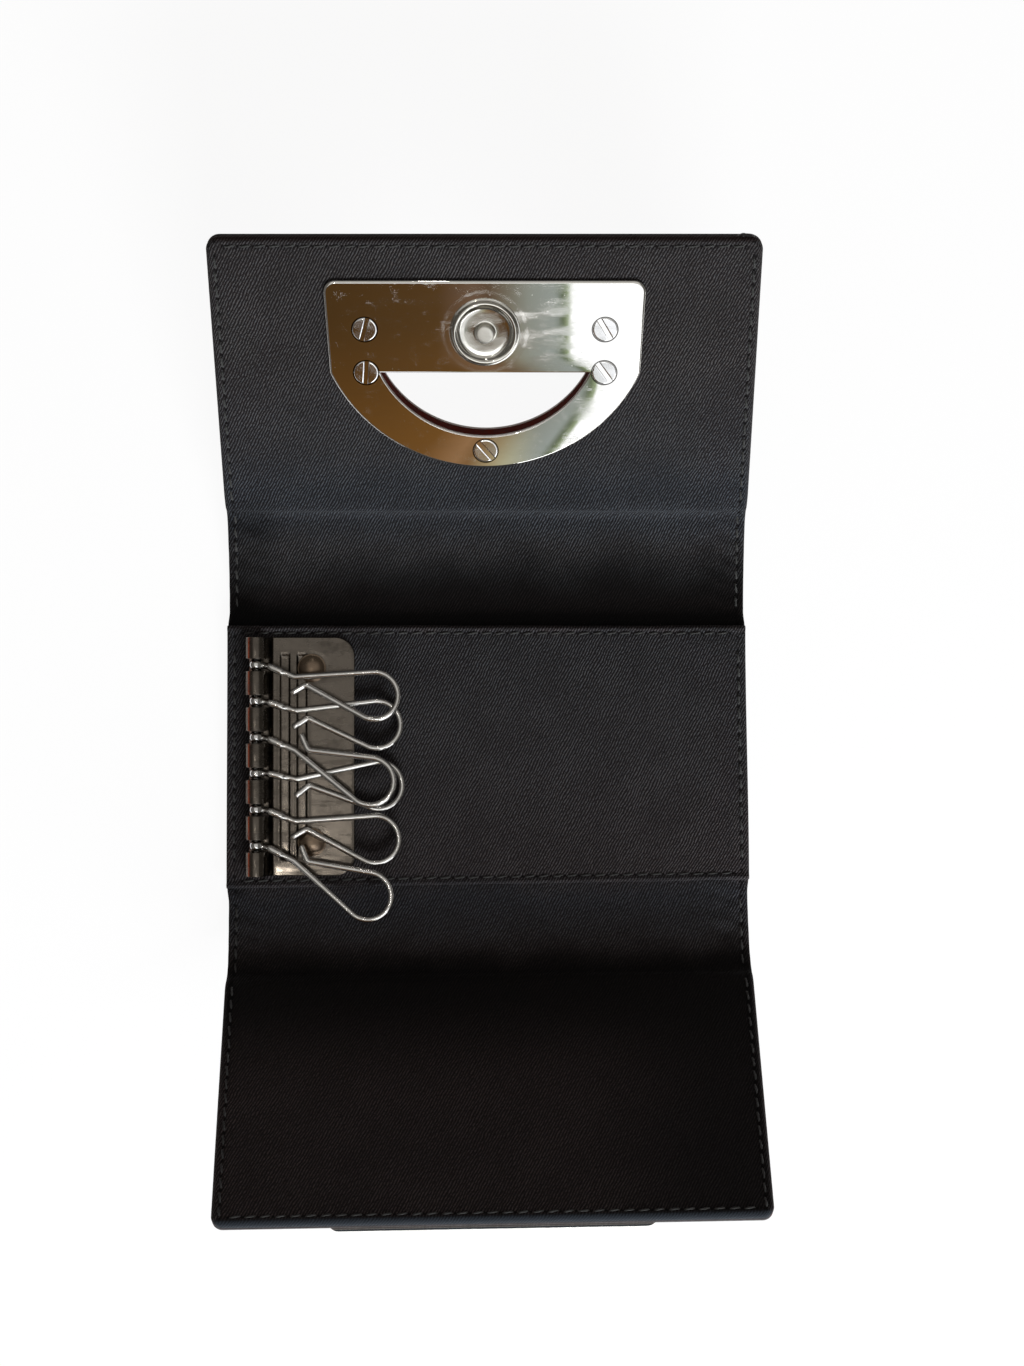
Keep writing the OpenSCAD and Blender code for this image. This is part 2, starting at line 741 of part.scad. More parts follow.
// Middle line of a hook's wire past its shank, the arm along +X and the loop towards +Y.
function hook_form() =
  let (
    loop_y = shank_step + loop_r,
    arm = [shank_reach, shank_step],
    pinch = [shank_reach + pinch_reach, shank_step + wire_d + gate_gap],
    tip = pinch + tip_l * [-cos(tip_a), sin(tip_a)],
    last = [loop_reach, loop_y] + loop_r * [-sin(return_a), cos(return_a)],
    loop = [for (k = [0 : loop_steps])
      let (a = -90 + k * (180 + return_a) / loop_steps)
      [loop_reach + loop_r * cos(a), loop_y + loop_r * sin(a)]]
  )
  concat([arm], loop, blend(last, pinch, tip, bend_r), [tip]);

// Whole route of hook i in its own plane, from the ball outwards.
function hook_route(i) =
  let (
    side = -hook_side_shares[i],
    form = [for (p = hook_form()) turn([p[0], side * p[1]], hook_arm_angles[i])],
    start = turn([ball_d / 2 + wire_gap, 0], hook_stub_angles[i]),
    stub = turn([stub_l, 0], hook_stub_angles[i]),
    arm = form[0],
    collar = stub + (arm - stub) * ((shank_end - stub_l) / norm(arm - stub)),
    step = (arm - stub) / norm(arm - stub) * wire_gap
  )
  concat([start, stub - step, stub, collar, collar + step],
    blend(collar, arm, form[1], bend_r), [for (k = [1 : len(form) - 1]) form[k]]);

// Radius of the wire at point k of a route: the shank is thicker between stub and collar.
function wire_r(k) = (k == 2 || k == 3) ? shank_d / 2 : wire_d / 2;

module wire(route) {
  n = len(route);
  rings = [for (k = [0 : n - 1])
    let (
      before = route[max(k - 1, 0)], after = route[min(k + 1, n - 1)],
      t = (after - before) / norm(after - before), side = [-t[1], t[0]]
    )
    for (s = [0 : wire_sides - 1])
      let (a = 360 * s / wire_sides, r = wire_r(k))
      [route[k][0] + r * cos(a) * side[0], route[k][1] + r * cos(a) * side[1], r * sin(a)]];
  walls = [for (k = [0 : n - 2], s = [0 : wire_sides - 1])
    let (a = k * wire_sides + s, b = k * wire_sides + (s + 1) % wire_sides)
    [a, b, b + wire_sides, a + wire_sides]];
  ends = [[for (s = [0 : wire_sides - 1]) wire_sides - 1 - s],
    [for (s = [0 : wire_sides - 1]) (n - 1) * wire_sides + s]];
  polyhedron(points = rings, faces = concat(walls, ends), convexity = 6);
}

module hook_ball(i) {
  color(bright) translate([-tube_x, hook_y(i), tube_z]) sphere(d = ball_d, $fn = small_share);
}

module hook_wire(i) {
  color(bright) translate([-tube_x, hook_y(i), tube_z]) rotate([0, -hook_rise_angles[i], 0])
    wire(hook_route(i));
}

module hook_1_ball() { hook_ball(0); }
module hook_1_wire() { hook_wire(0); }
module hook_2_ball() { hook_ball(1); }
module hook_2_wire() { hook_wire(1); }
module hook_3_ball() { hook_ball(2); }
module hook_3_wire() { hook_wire(2); }
module hook_4_ball() { hook_ball(3); }
module hook_4_wire() { hook_wire(3); }
module hook_5_ball() { hook_ball(4); }
module hook_5_wire() { hook_wire(4); }
module hook_6_ball() { hook_ball(5); }
module hook_6_wire() { hook_wire(5); }

flap_cover();
flap_board();
flap_lining();
flap_stitching();
flap_plate();
flap_frame();
flap_screws();
snap_stud();
upper_spine_cover();
upper_spine_lining();
upper_spine_stitching();
middle_cover();
middle_lining();
middle_board();
middle_panel();
panel_stitching();
lower_spine_cover();
lower_spine_lining();
lower_spine_stitching();
front_cover();
front_board();
front_lining();
front_stitching();
catch_plate();
snap_socket();
snap_spring();
hook_rail();
rail_rivets();
rivet_washers();
hook_1_ball();
hook_1_wire();
hook_2_ball();
hook_2_wire();
hook_3_ball();
hook_3_wire();
hook_4_ball();
hook_4_wire();
hook_5_ball();
hook_5_wire();
hook_6_ball();
hook_6_wire();
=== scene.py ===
import math

import bpy
import numpy as np
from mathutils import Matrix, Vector
from mathutils.geometry import tessellate_polygon


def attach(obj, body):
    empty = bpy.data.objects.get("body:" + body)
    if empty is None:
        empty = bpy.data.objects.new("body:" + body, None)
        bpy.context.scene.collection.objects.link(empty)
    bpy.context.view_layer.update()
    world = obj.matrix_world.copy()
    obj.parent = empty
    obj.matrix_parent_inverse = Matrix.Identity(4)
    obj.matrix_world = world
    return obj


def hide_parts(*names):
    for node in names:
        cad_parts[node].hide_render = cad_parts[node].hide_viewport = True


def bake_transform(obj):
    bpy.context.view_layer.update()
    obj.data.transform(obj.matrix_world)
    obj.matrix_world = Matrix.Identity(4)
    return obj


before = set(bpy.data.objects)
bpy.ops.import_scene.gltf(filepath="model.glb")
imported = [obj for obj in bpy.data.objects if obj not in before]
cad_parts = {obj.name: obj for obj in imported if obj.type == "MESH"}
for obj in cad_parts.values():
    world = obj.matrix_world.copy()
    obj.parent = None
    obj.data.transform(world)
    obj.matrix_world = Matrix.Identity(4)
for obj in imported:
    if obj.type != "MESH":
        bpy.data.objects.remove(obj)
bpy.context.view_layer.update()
mm = 0.001  # sizes below are in millimetres, angles in degrees
flatUnit = 100.0  # millimetres to one unit of the flat map


# Object from points in millimetres; flat gives each point's place on the flat cloth
def meshObject(name, verts, faces, flat=None, smoothAngle=None):
    mesh = bpy.data.meshes.new(name)
    mesh.from_pydata([tuple(float(c) * mm for c in v) for v in verts], [], faces)
    if flat is not None:
        layer = mesh.uv_layers.new(name="flat")
        index = np.zeros(len(mesh.loops), np.int32)
        mesh.loops.foreach_get("vertex_index", index)
        layer.data.foreach_set("uv", (np.array(flat, np.float32)[index] / flatUnit).ravel())
    mesh.polygons.foreach_set("use_smooth", [True] * len(mesh.polygons))
    if smoothAngle:
        mesh.set_sharp_from_angle(angle=math.radians(smoothAngle))
    mesh.validate()
    mesh.update()
    thing = bpy.data.objects.new(name, mesh)
    bpy.context.scene.collection.objects.link(thing)
    return thing


# Quads of a grid of m rows with n points each
def gridFaces(m, n):
    return [(j * n + i, j * n + i + 1, (j + 1) * n + i + 1, (j + 1) * n + i)
            for j in range(m - 1) for i in range(n - 1)]


# Border of the same grid: first row, last column, last row, first column
def gridBorder(m, n):
    return ([*range(n)] + [j * n + n - 1 for j in range(1, m)]
            + [(m - 1) * n + i for i in range(n - 2, -1, -1)] + [j * n for j in range(m - 2, 0, -1)])


# Quads round a tube of m rings with n points each, whose points start at first
def tubeFaces(m, n, first=0):
    pairs = [(first + j * n + k, first + j * n + (k + 1) % n) for j in range(m - 1) for k in range(n)]
    return [(a, a + n, b + n, b) for a, b in pairs]


def arcPoints(x, y, radius, angles):
    return [(x + radius * math.cos(a), y + radius * math.sin(a)) for a in angles]


def spin(x, y, degrees):
    a = math.radians(degrees)
    return x * math.cos(a) - y * math.sin(a), x * math.sin(a) + y * math.cos(a)


# Unit normals beside a line of points
def lineNormals(points):
    tangent = np.gradient(points, axis=0)
    normal = np.stack([tangent[:, 1], -tangent[:, 0]], -1)
    return normal / (np.linalg.norm(normal, axis=1)[:, None] + 1e-9)


def ease(t):
    t = np.clip(t, 0, 1)
    return t * t * (3 - 2 * t)


# 1 at d = 0, falling off softly on both sides
def hump(d, width):
    return np.exp(-(d / width) ** 2)


# Smooth noise from -1 to 1 over points x, y, with lumps of about the given size
def softNoise(x, y, size, seed):
    tile, offset = 64, 900  # the offset keeps the places positive
    table = np.random.default_rng(seed).uniform(-1, 1, (tile, tile))
    gx, gy = np.asarray(x, float) / size + offset, np.asarray(y, float) / size + offset
    ix, iy = np.floor(gx).astype(int), np.floor(gy).astype(int)
    fx, fy = ease(gx - ix), ease(gy - iy)
    a, b = table[ix % tile, iy % tile], table[(ix + 1) % tile, iy % tile]
    c, d = table[ix % tile, (iy + 1) % tile], table[(ix + 1) % tile, (iy + 1) % tile]
    return (a * (1 - fx) + b * fx) * (1 - fy) + (c * (1 - fx) + d * fx) * fy


case = {
    "width": 108.1, "hinge": 27.4, "middle": 54.0, "upperSpine": 24.0, "flap": 58.0,
    "lowerSpine": 18.0, "front": 53.0, "flapCorner": 2.6, "frontCorner": 2.2,
    "spineThick": 1.5, "panelThick": 3.1, "coverThick": 1.0,
    "slopes": {"upperSpine": 8.0, "flap": 29.5, "lowerSpine": 12.0, "front": 33.0},
    "crease": 1.1, "spineNarrower": 0.3, "upperSag": 1.0, "lowerSag": 0.7,
    # the lower half's rows lean, drift to the side and widen a little
    "lean": 0.019, "endLean": 0.0185, "leanFrom": 20.0, "leanOver": 7.0,
    "drift": 0.0195, "widen": 0.009, "shift": 0.3,
}


# Place of a point at distance d past a fold and height h, for a panel of that slope
def hinged(d, h, start, slope):
    a = math.radians(slope)
    up = h - case["spineThick"]
    return start[0] + d * math.cos(a) - up * math.sin(a), start[1] + d * math.sin(a) + up * math.cos(a)


# One half of the strip from the middle outwards: flat, then the spine, then the panel
def halfPlace(s, h, spineLength, spineSlope, panelSlope, sag):
    first = (case["hinge"], case["spineThick"])
    a = math.radians(spineSlope)
    second = (first[0] + spineLength * math.cos(a), first[1] + spineLength * math.sin(a))
    past = s - case["hinge"]
    bow = np.clip(past / spineLength, 0, 1)
    spine = hinged(past, h - sag * np.sin(np.pi * bow ** 0.75) ** 1.2, first, spineSlope)
    panel = hinged(past - spineLength, h, second, panelSlope)
    onSpine, onPanel = (ease((d + case["crease"]) / (2 * case["crease"])) for d in (past, past - spineLength))
    return [level * (1 - onSpine) + onSpine * (lower * (1 - onPanel) + upper * onPanel)
            for level, lower, upper in zip((s, h), spine, panel)]


# Row-frame points of places x, s on the flat strip, h above the leather's outer face
def place(x, s, h):
    x, s, h = np.broadcast_arrays(np.asarray(x, float), np.asarray(s, float), np.asarray(h, float))
    past = np.clip(-s - case["hinge"], 0, None)
    reach = case["lowerSpine"] + case["front"]
    lean = case["lean"] * ease((-s - case["leanFrom"]) / case["leanOver"])
    lean = lean + (case["endLean"] - case["lean"]) * past / reach
    lower = ease((case["hinge"] - s) / 2 / case["hinge"])
    x = x * (1 + case["widen"] * lower) + case["shift"] * lower
    x, s = x + past * case["drift"], s + x * lean
    far, slopes = np.abs(s), case["slopes"]
    up = halfPlace(far, h, case["upperSpine"], slopes["upperSpine"], slopes["flap"], case["upperSag"])
    down = halfPlace(far, h, case["lowerSpine"], slopes["lowerSpine"], slopes["front"], case["lowerSag"])
    return np.stack([x, np.where(s >= 0, up[0], -down[0]), np.where(s >= 0, up[1], down[1])], -1)


def placed(points):
    return place(*np.array(points).T)


topEnd = case["hinge"] + case["upperSpine"] + case["flap"]
lowEnd = -(case["hinge"] + case["lowerSpine"] + case["front"])
upperCrease = case["hinge"] + case["upperSpine"]
lowerCrease = -(case["hinge"] + case["lowerSpine"])


cloth = {
    "roll": 1.1, "spineRoll": 0.42,  # turned-down edge, on the boards and on the spines
    "flapStep": (-2.3, 0.6), "frontStep": (-1.0, 2.6),  # step over each board, from its fold
    "grid": 0.55, "tuck": 0.25, "stitchInset": 1.6, "hemRadius": 0.7, "hemLift": 0.35,
    "grooveDepth": 0.2, "grooveWidth": 0.42, "grooveLeast": 0.55, "holeDepth": 0.9,
    "puff": 0.1, "puffInset": 0.88, "puffWidth": 0.5,  # soft edge outside the stitches
    "waves": ((0.16, 19, 3), (0.07, 6.5, 4)), "boardFirmness": 0.55,  # height, size and seed
    "bulge": 0.95, "bulgeReach": (4.2, 1.3), "bulgeWave": 0.25,  # along the flap's fold
    "pucker": 0.2, "puckerLines": 0.14, "puckerReach": 4.5,  # along the spines' sides
}
stitch = {
    "pitch": 2.9, "length": 2.3, "radius": 0.2, "arch": 0.16, "dip": 0.26, "slant": 8.0,
    "slantVary": 3, "stray": 0.04, "reachVary": (0.94, 1.04), "ply": 0.16, "plyTurn": 5.5, "flatness": 0.8,
}


# 1 on the boarded flap and front panel, 0 on the spines, by the distance from the fold
def panelShare(s):
    up, down = cloth["flapStep"], cloth["frontStep"]
    return np.where(s >= 0, ease((s - upperCrease - up[0]) / (up[1] - up[0])),
                    ease((lowerCrease - s - down[0]) / (down[1] - down[0])))


def halfWidth(s):
    pastCrease = np.where(s >= 0, s - upperCrease, lowerCrease - s)
    pastHinge = np.where(s >= 0, s, -s) - case["hinge"]
    narrow = ease((4 - pastCrease) / 8) * ease((pastHinge + 0.6) / 3)
    return case["width"] / 2 - case["spineNarrower"] * narrow


# Groove along the stitches and the needle holes in it, each from 0 to 1
def stitchRow(x, s, side, end):
    along = np.where(side < end, s, x)
    holes = 0.5 + 0.5 * np.cos(2 * np.pi * (along / stitch["pitch"] + 0.5))
    return hump(np.minimum(side, end) - cloth["stitchInset"], cloth["grooveWidth"]), holes ** 3


# Height of the lining's upper face, with the step over each board, grooves and puckers
def clothHeight(x, s):
    board = panelShare(s)
    side, end = halfWidth(s) - np.abs(x), np.where(s >= 0, topEnd - s, s - lowEnd)
    groove, holes = stitchRow(x, s, side, end)
    h = case["spineThick"] + (case["panelThick"] - case["spineThick"]) * board
    h = h - cloth["grooveDepth"] * groove * (cloth["grooveLeast"] + cloth["holeDepth"] * holes)
    h = h + cloth["puff"] * hump(np.minimum(side, end) - cloth["puffInset"], cloth["puffWidth"])
    waves = sum(high * softNoise(x, s, size, seed) for high, size, seed in cloth["waves"])
    h = h + (1 - cloth["boardFirmness"] * board) * waves
    fold = s - upperCrease - cloth["flapStep"][1]
    puffed = hump(fold, np.where(fold > 0, *cloth["bulgeReach"]))
    puffed = puffed * ease((side - 0.8) / 7) * (1 + cloth["bulgeWave"] * softNoise(x, s, 14, 11))
    h = h + cloth["bulge"] * puffed
    pucker = hump(side - cloth["puckerReach"], cloth["puckerReach"]) * (1 - board)
    h = h + pucker * cloth["pucker"] * softNoise(x * 0.7 + s * 0.5, s - x * 0.35, 2.6, 5)
    return h + pucker * cloth["puckerLines"] * np.sin((s + 0.35 * x) * 1.55 + 2 * softNoise(x, s, 9, 8))


# Rows along the strip, closer near a free end, and how far each draws in at the corner
def rows(start, end, corner, step, free):
    sign = 1 if end > start else -1
    length = abs(end - start)
    if not free:
        n = max(2, int(round(length / step)))
        return [start + sign * length * k / n for k in range(n + 1)], [0.0] * (n + 1)
    straight, fine, steps = length - corner, 3, 12
    n = int(round((straight - fine) / step))
    out = [sign * k * (straight - fine) / n + start for k in range(n + 1)]
    out += [start + sign * (straight - fine + fine * k / steps) for k in range(1, steps + 1)]
    draw = [0.0] * len(out)
    for a in [math.pi / 2 * k / steps for k in range(1, steps + 1)]:
        out.append(start + sign * (straight + corner * math.sin(a)))
        draw.append(corner * (1 - math.cos(a)))
    return out, draw


# Places across the strip from -1 to 1, closer near the sides
def columns(step):
    edge = [0, 0.2, 0.4, 0.6, 0.85, 1.15, 1.5, 1.95, 2.45]
    inner = case["width"] / 2 - cloth["roll"]
    n = int(round((inner - edge[-1]) / step))
    side = [inner - e for e in edge] + [(inner - edge[-1]) * (1 - k / n) for k in range(1, n)]
    half = np.array(side) / inner
    return np.concatenate([-half, [0.0], half[::-1]])


halfMoon = {
    "width": 63.1, "foot": 60.4, "length": 39.5, "arc": 33.6, "corner": 2.4, "thick": 0.8,
    "edgeY": 49.7, "bevel": 0.5, "bevelDrop": 0.3, "frameThick": 1.2,
}
window = {"drop": 18.9, "length": 13.7, "arc": 22.9, "wall": 0.9}
rollAngles = np.radians([18, 36, 54, 72, 90])


# Inside the window, made larger by grow
def inWindow(x, s, grow):
    low = upperCrease + halfMoon["edgeY"] - window["drop"] + grow
    middle = upperCrease + halfMoon["edgeY"] + window["arc"] - window["drop"] - window["length"]
    return (s < low) & (x * x + (s - middle) ** 2 < (window["arc"] + grow) ** 2)


# Sheet over part of the strip: a face that rolls down, or up, over its sides and free end
def shell(name, start, end, free, corner, top, roll, grid, tuck, down=True):
    endRoll = roll(np.array([end]))[0]
    last = end - (endRoll if end > start else -endRoll) if free else end
    lines, draw = rows(start, last, max(corner - endRoll, 0.3), grid, free)
    s, shares = np.array(lines), columns(grid)
    inner = halfWidth(s) - roll(s) - np.array(draw)
    m, n = len(s), len(shares)
    x, s = (inner[:, None] * shares).ravel(), np.repeat(s, n)
    verts, flat = list(map(tuple, place(x, s, top(x, s)))), list(zip(x, s))
    flip, turn, under = (end < start) == down, -1 if down else 1, case["coverThick"]
    cut = inWindow(x, s, 0.1)
    faces = [q[::-1] if flip else q for q in gridFaces(m, n) if not cut[list(q)].any()]
    left, right = [j * n for j in range(m)], [j * n + n - 1 for j in range(m)][::-1]
    loops = [left + [(m - 1) * n + i for i in range(1, n - 1)] + right] if free else [left, right]
    for loop in loops:
        points = np.array([flat[i] for i in loop])
        normal = lineNormals(points)
        out = np.sign(np.sum(normal * (points - (0, (start + end) / 2)), 1))
        normal *= np.where(out == 0, 1, out)[:, None]
        r, heights = roll(points[:, 1]), top(points[:, 0], points[:, 1])
        levels = [(r * math.sin(a), heights + turn * r * (1 - math.cos(a))) for a in rollAngles]
        levels += [(r, under * 0.6 + (heights + turn * r) * 0.4), (r - tuck * 0.4, under - turn * 0.06),
                   (r - tuck - 0.2, under)]
        previous = loop
        for grow, height in levels:
            p = points + normal * grow[:, None]
            ring = list(range(len(verts), len(verts) + len(loop)))
            verts += list(map(tuple, place(p[:, 0], p[:, 1], height)))
            flat += list(map(tuple, points + normal * (grow + np.abs(heights - height))[:, None]))
            for k in range(len(loop) - 1):
                q = (previous[k], previous[k + 1], ring[k + 1], ring[k])
                faces.append(q[::-1] if flip else q)
            previous = ring
    return meshObject(name, verts, faces, flat)


def rowPoint(s):
    return tuple(c * mm for c in place(0.0, s, case["spineThick"]))


def bendBetween(thing, crease, direction):
    e = case["crease"]
    rowPoint(crease - direction * e)
    rowPoint(crease + direction * e)
    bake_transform(thing)


print("stage: shaders")


def newGroup(name, ins, outs):
    tree = bpy.data.node_groups.new(name, "ShaderNodeTree")
    for n, kind, value in ins:
        socket = tree.interface.new_socket(name=n, in_out="INPUT", socket_type=kind)
        if value is not None:
            socket.default_value = value
    for n in outs:
        tree.interface.new_socket(name=n, in_out="OUTPUT", socket_type="NodeSocketFloat")
    return tree, tree.nodes.new("NodeGroupInput").outputs, tree.nodes.new("NodeGroupOutput")


# Links or sets a node's inputs
def fill(tree, node, values):
    for key, value in values.items():
        if isinstance(value, bpy.types.NodeSocket):
            tree.links.new(value, node.inputs[key])
        else:
            node.inputs[key].default_value = value
    return node


def put(tree, kind, values=None, **settings):
    node = tree.nodes.new(kind)
    for key, value in settings.items():
        setattr(node, key, value)
    return fill(tree, node, values or {})


def calc(tree, operation, a, b=0.0, c=0.0, clamp=False):
    return put(tree, "ShaderNodeMath", {0: a, 1: b, 2: c}, operation=operation, use_clamp=clamp).outputs[0]


def times(tree, a, b):
    return calc(tree, "MULTIPLY", a, b)


def timesPlus(tree, a, b, c, clamp=False):
    return calc(tree, "MULTIPLY_ADD", a, b, c, clamp)


def larger(tree, a, b):
    return calc(tree, "MAXIMUM", a, b)


def span(tree, value, low, high, out0=0.0, out1=1.0):
    node = put(tree, "ShaderNodeMapRange", {"Value": value, "From Min": low, "From Max": high,
                                            "To Min": out0, "To Max": out1}, interpolation_type="SMOOTHSTEP")
    return node.outputs["Result"]


def vectorCalc(tree, operation, a, b, output="Vector"):
    return put(tree, "ShaderNodeVectorMath", {0: a, 1: b}, operation=operation).outputs[output]


def scaled(tree, vector, by):
    return put(tree, "ShaderNodeVectorMath", {0: vector, "Scale": by}, operation="SCALE").outputs[0]


def mixColour(tree, share, a, b, blend="MIX"):
    return put(tree, "ShaderNodeMix", {0: share, 6: a, 7: b}, data_type="RGBA", blend_type=blend).outputs[2]


def rgba(colour, share=1.0):
    return (*(c * share for c in colour), 1.0)


def colourRamp(tree, value, stops):
    ramp = put(tree, "ShaderNodeValToRGB", {0: value})
    elements = ramp.color_ramp.elements
    while len(elements) < len(stops):
        elements.new(0.5)
    for element, (at, colour) in zip(elements, stops):
        element.position, element.color = at, rgba(colour)
    return ramp.outputs[0]


def noise(tree, vector, scale, detail=3.0, rough=0.5):
    return put(tree, "ShaderNodeTexNoise", {"Vector": vector, "Scale": scale, "Detail": detail,
                                            "Roughness": rough}).outputs["Fac"]


# Noises are given as scale, detail and roughness
weave = {
    "pitch": 0.54, "angle": 62.0, "bends": 0.35, "bendAmount": 0.7, "knot": 1.5, "knotShift": 0.37,
    "knotDepth": 0.16, "fuzz": (4.5, 4.0, 0.65), "fuzzAmount": 0.5, "wear": (0.09, 4.0, 0.55),
}


# Twill weave on flat-cloth places: line height, fibre fuzz and slow wear
def twillGroup():
    tree, start, out = newGroup(
        "twill", [("Vector", "NodeSocketVector", None), ("Pitch", "NodeSocketFloat", weave["pitch"])],
        ["Height", "Fuzz", "Wear"])
    a, v = math.radians(weave["angle"]), start["Vector"]
    wave = put(tree, "ShaderNodeTexNoise", {"Vector": v, "Scale": weave["bends"], "Detail": 2.0})
    bent = vectorCalc(tree, "SUBTRACT", wave.outputs["Color"], (0.5, 0.5, 0.5))
    moved = vectorCalc(tree, "ADD", v, scaled(tree, bent, weave["bendAmount"]))
    across = vectorCalc(tree, "DOT_PRODUCT", moved, (-math.sin(a), math.cos(a), 0), "Value")
    along = vectorCalc(tree, "DOT_PRODUCT", moved, (math.cos(a), math.sin(a), 0), "Value")
    turn = calc(tree, "DIVIDE", across, start["Pitch"])
    line = timesPlus(tree, calc(tree, "SINE", times(tree, turn, 2 * math.pi)), 0.5, 0.5)
    shift = times(tree, calc(tree, "FLOOR", turn), weave["knotShift"])
    knot = calc(tree, "SINE", times(tree, calc(tree, "ADD", calc(tree, "DIVIDE", along, weave["knot"]), shift),
                                    2 * math.pi))
    knot = timesPlus(tree, knot, weave["knotDepth"], 1 - weave["knotDepth"])
    fuzz = noise(tree, moved, *weave["fuzz"])
    height = timesPlus(tree, fuzz, weave["fuzzAmount"], times(tree, line, knot))
    fill(tree, out, {"Height": height, "Fuzz": fuzz, "Wear": noise(tree, v, *weave["wear"])})
    return tree


scuff = {
    "scratches": ((20, 3.3), (-38, 2.4), (75, 3.0)),  # direction and scale
    "thin": 0.012, "patches": (0.35, 2.0), "smear": (0.3, 4.0, 0.6), "smearTurn": -35,
    "smearStretch": (0.3, 1.4, 1.0), "specks": 0.9, "speckSize": (0.05, 0.1),
}


# Fine scratches, smears and specks on polished metal
def scuffGroup():
    tree, start, out = newGroup(
        "scuffs", [("Vector", "NodeSocketVector", None)], ["Scratch", "Smear", "Speck"])
    v, total = start["Vector"], None
    for k, (turn, scale) in enumerate(scuff["scratches"]):
        spun = put(tree, "ShaderNodeMapping", {"Vector": v, "Rotation": (0, 0, math.radians(turn)),
                                               "Scale": (0.05, 1.0, 1.0), "Location": (k * 7.0, 0, 0)})
        level = noise(tree, spun.outputs[0], scale, 2.0, 0.6)
        away = calc(tree, "ABSOLUTE", calc(tree, "SUBTRACT", level, 0.5))
        thin = span(tree, away, 0.0, scuff["thin"], 1.0, 0.0)
        total = thin if total is None else larger(tree, total, thin)
    patch = span(tree, noise(tree, v, *scuff["patches"]), 0.5, 0.72)
    wiped = put(tree, "ShaderNodeMapping", {"Vector": v, "Rotation": (0, 0, math.radians(scuff["smearTurn"])),
                                            "Scale": scuff["smearStretch"]})
    dots = put(tree, "ShaderNodeTexVoronoi", {"Vector": v, "Scale": scuff["specks"]})
    fill(tree, out, {"Scratch": times(tree, total, patch), "Smear": noise(tree, wiped.outputs[0], *scuff["smear"]),
                     "Speck": span(tree, dots.outputs["Distance"], *scuff["speckSize"], 1.0, 0.0)})
    return tree


# Leather grain: small cells with creases between them
def grainGroup():
    tree, start, out = newGroup("grain", [("Vector", "NodeSocketVector", None)], ["Height", "Shade"])
    v = start["Vector"]
    cells = put(tree, "ShaderNodeTexVoronoi", {"Vector": v, "Scale": 1.5, "Randomness": 0.9},
                feature="DISTANCE_TO_EDGE")
    crease = span(tree, cells.outputs["Distance"], 0.0, 0.22)
    lumps = noise(tree, v, 0.5, 4.0, 0.6)
    fill(tree, out, {"Height": timesPlus(tree, lumps, 0.5, crease), "Shade": lumps})
    return tree


colours = {
    "cloth": (0.008, 0.0073, 0.0078), "clothLight": (0.054, 0.0555, 0.0585),
    "paintedEdgeLight": (0.012, 0.0148, 0.0185), "rim": (0.016, 0.0055, 0.004), "hole": (0.0015, 0.0013, 0.0013),
    "leather": (0.021, 0.018, 0.018), "leatherEdge": (0.075, 0.012, 0.008),
    "thread": (0.036, 0.037, 0.035), "plate": (0.87, 0.85, 0.8), "nickel": (0.76, 0.75, 0.73),
    "pewter": (0.135, 0.117, 0.098), "stud": (0.62, 0.6, 0.54), "board": (0.4, 0.31, 0.21),
    "bronze": (0.23, 0.17, 0.12), "collar": (0.11, 0.009, 0.0015), "wire": (0.7, 0.68, 0.65),
    "seam": (0.06, 0.055, 0.05), "slot": (0.09, 0.08, 0.07),
}
twill, scuffs, grain = twillGroup(), scuffGroup(), grainGroup()


def newMaterial(name, constants):
    material = bpy.data.materials.new(name)
    material.use_nodes = True
    tree = material.node_tree
    return material, tree, fill(tree, tree.nodes["Principled BSDF"], constants)


# Places in millimetres: on the flat cloth, or in the row frame
def place3(tree, useFlat):
    if useFlat:
        return scaled(tree, put(tree, "ShaderNodeUVMap", uv_map="flat").outputs[0], flatUnit)
    return scaled(tree, put(tree, "ShaderNodeTexCoord").outputs["Object"], 1 / mm)


def parts(tree, vector):
    return put(tree, "ShaderNodeSeparateXYZ", {0: vector}).outputs


def useGroup(tree, group, **values):
    node = put(tree, "ShaderNodeGroup", node_tree=group)
    return fill(tree, node, values).outputs


def bump(tree, shader, height, distance, strength):
    node = put(tree, "ShaderNodeBump", {"Height": height, "Distance": distance * mm, "Strength": strength})
    tree.links.new(node.outputs[0], shader.inputs["Normal"])


# 1 where the value is near the middle, 0 past the reach
def near(tree, value, middle, reach):
    away = calc(tree, "ABSOLUTE", calc(tree, "SUBTRACT", value, middle))
    return span(tree, away, reach * 0.4, reach, 1.0, 0.0)


# 1 at the needle holes, halfway between the whole pitches
def pricks(tree, along):
    turn = timesPlus(tree, along, 2 * math.pi / stitch["pitch"], math.pi)
    return span(tree, calc(tree, "COSINE", turn), 0.72, 0.93)


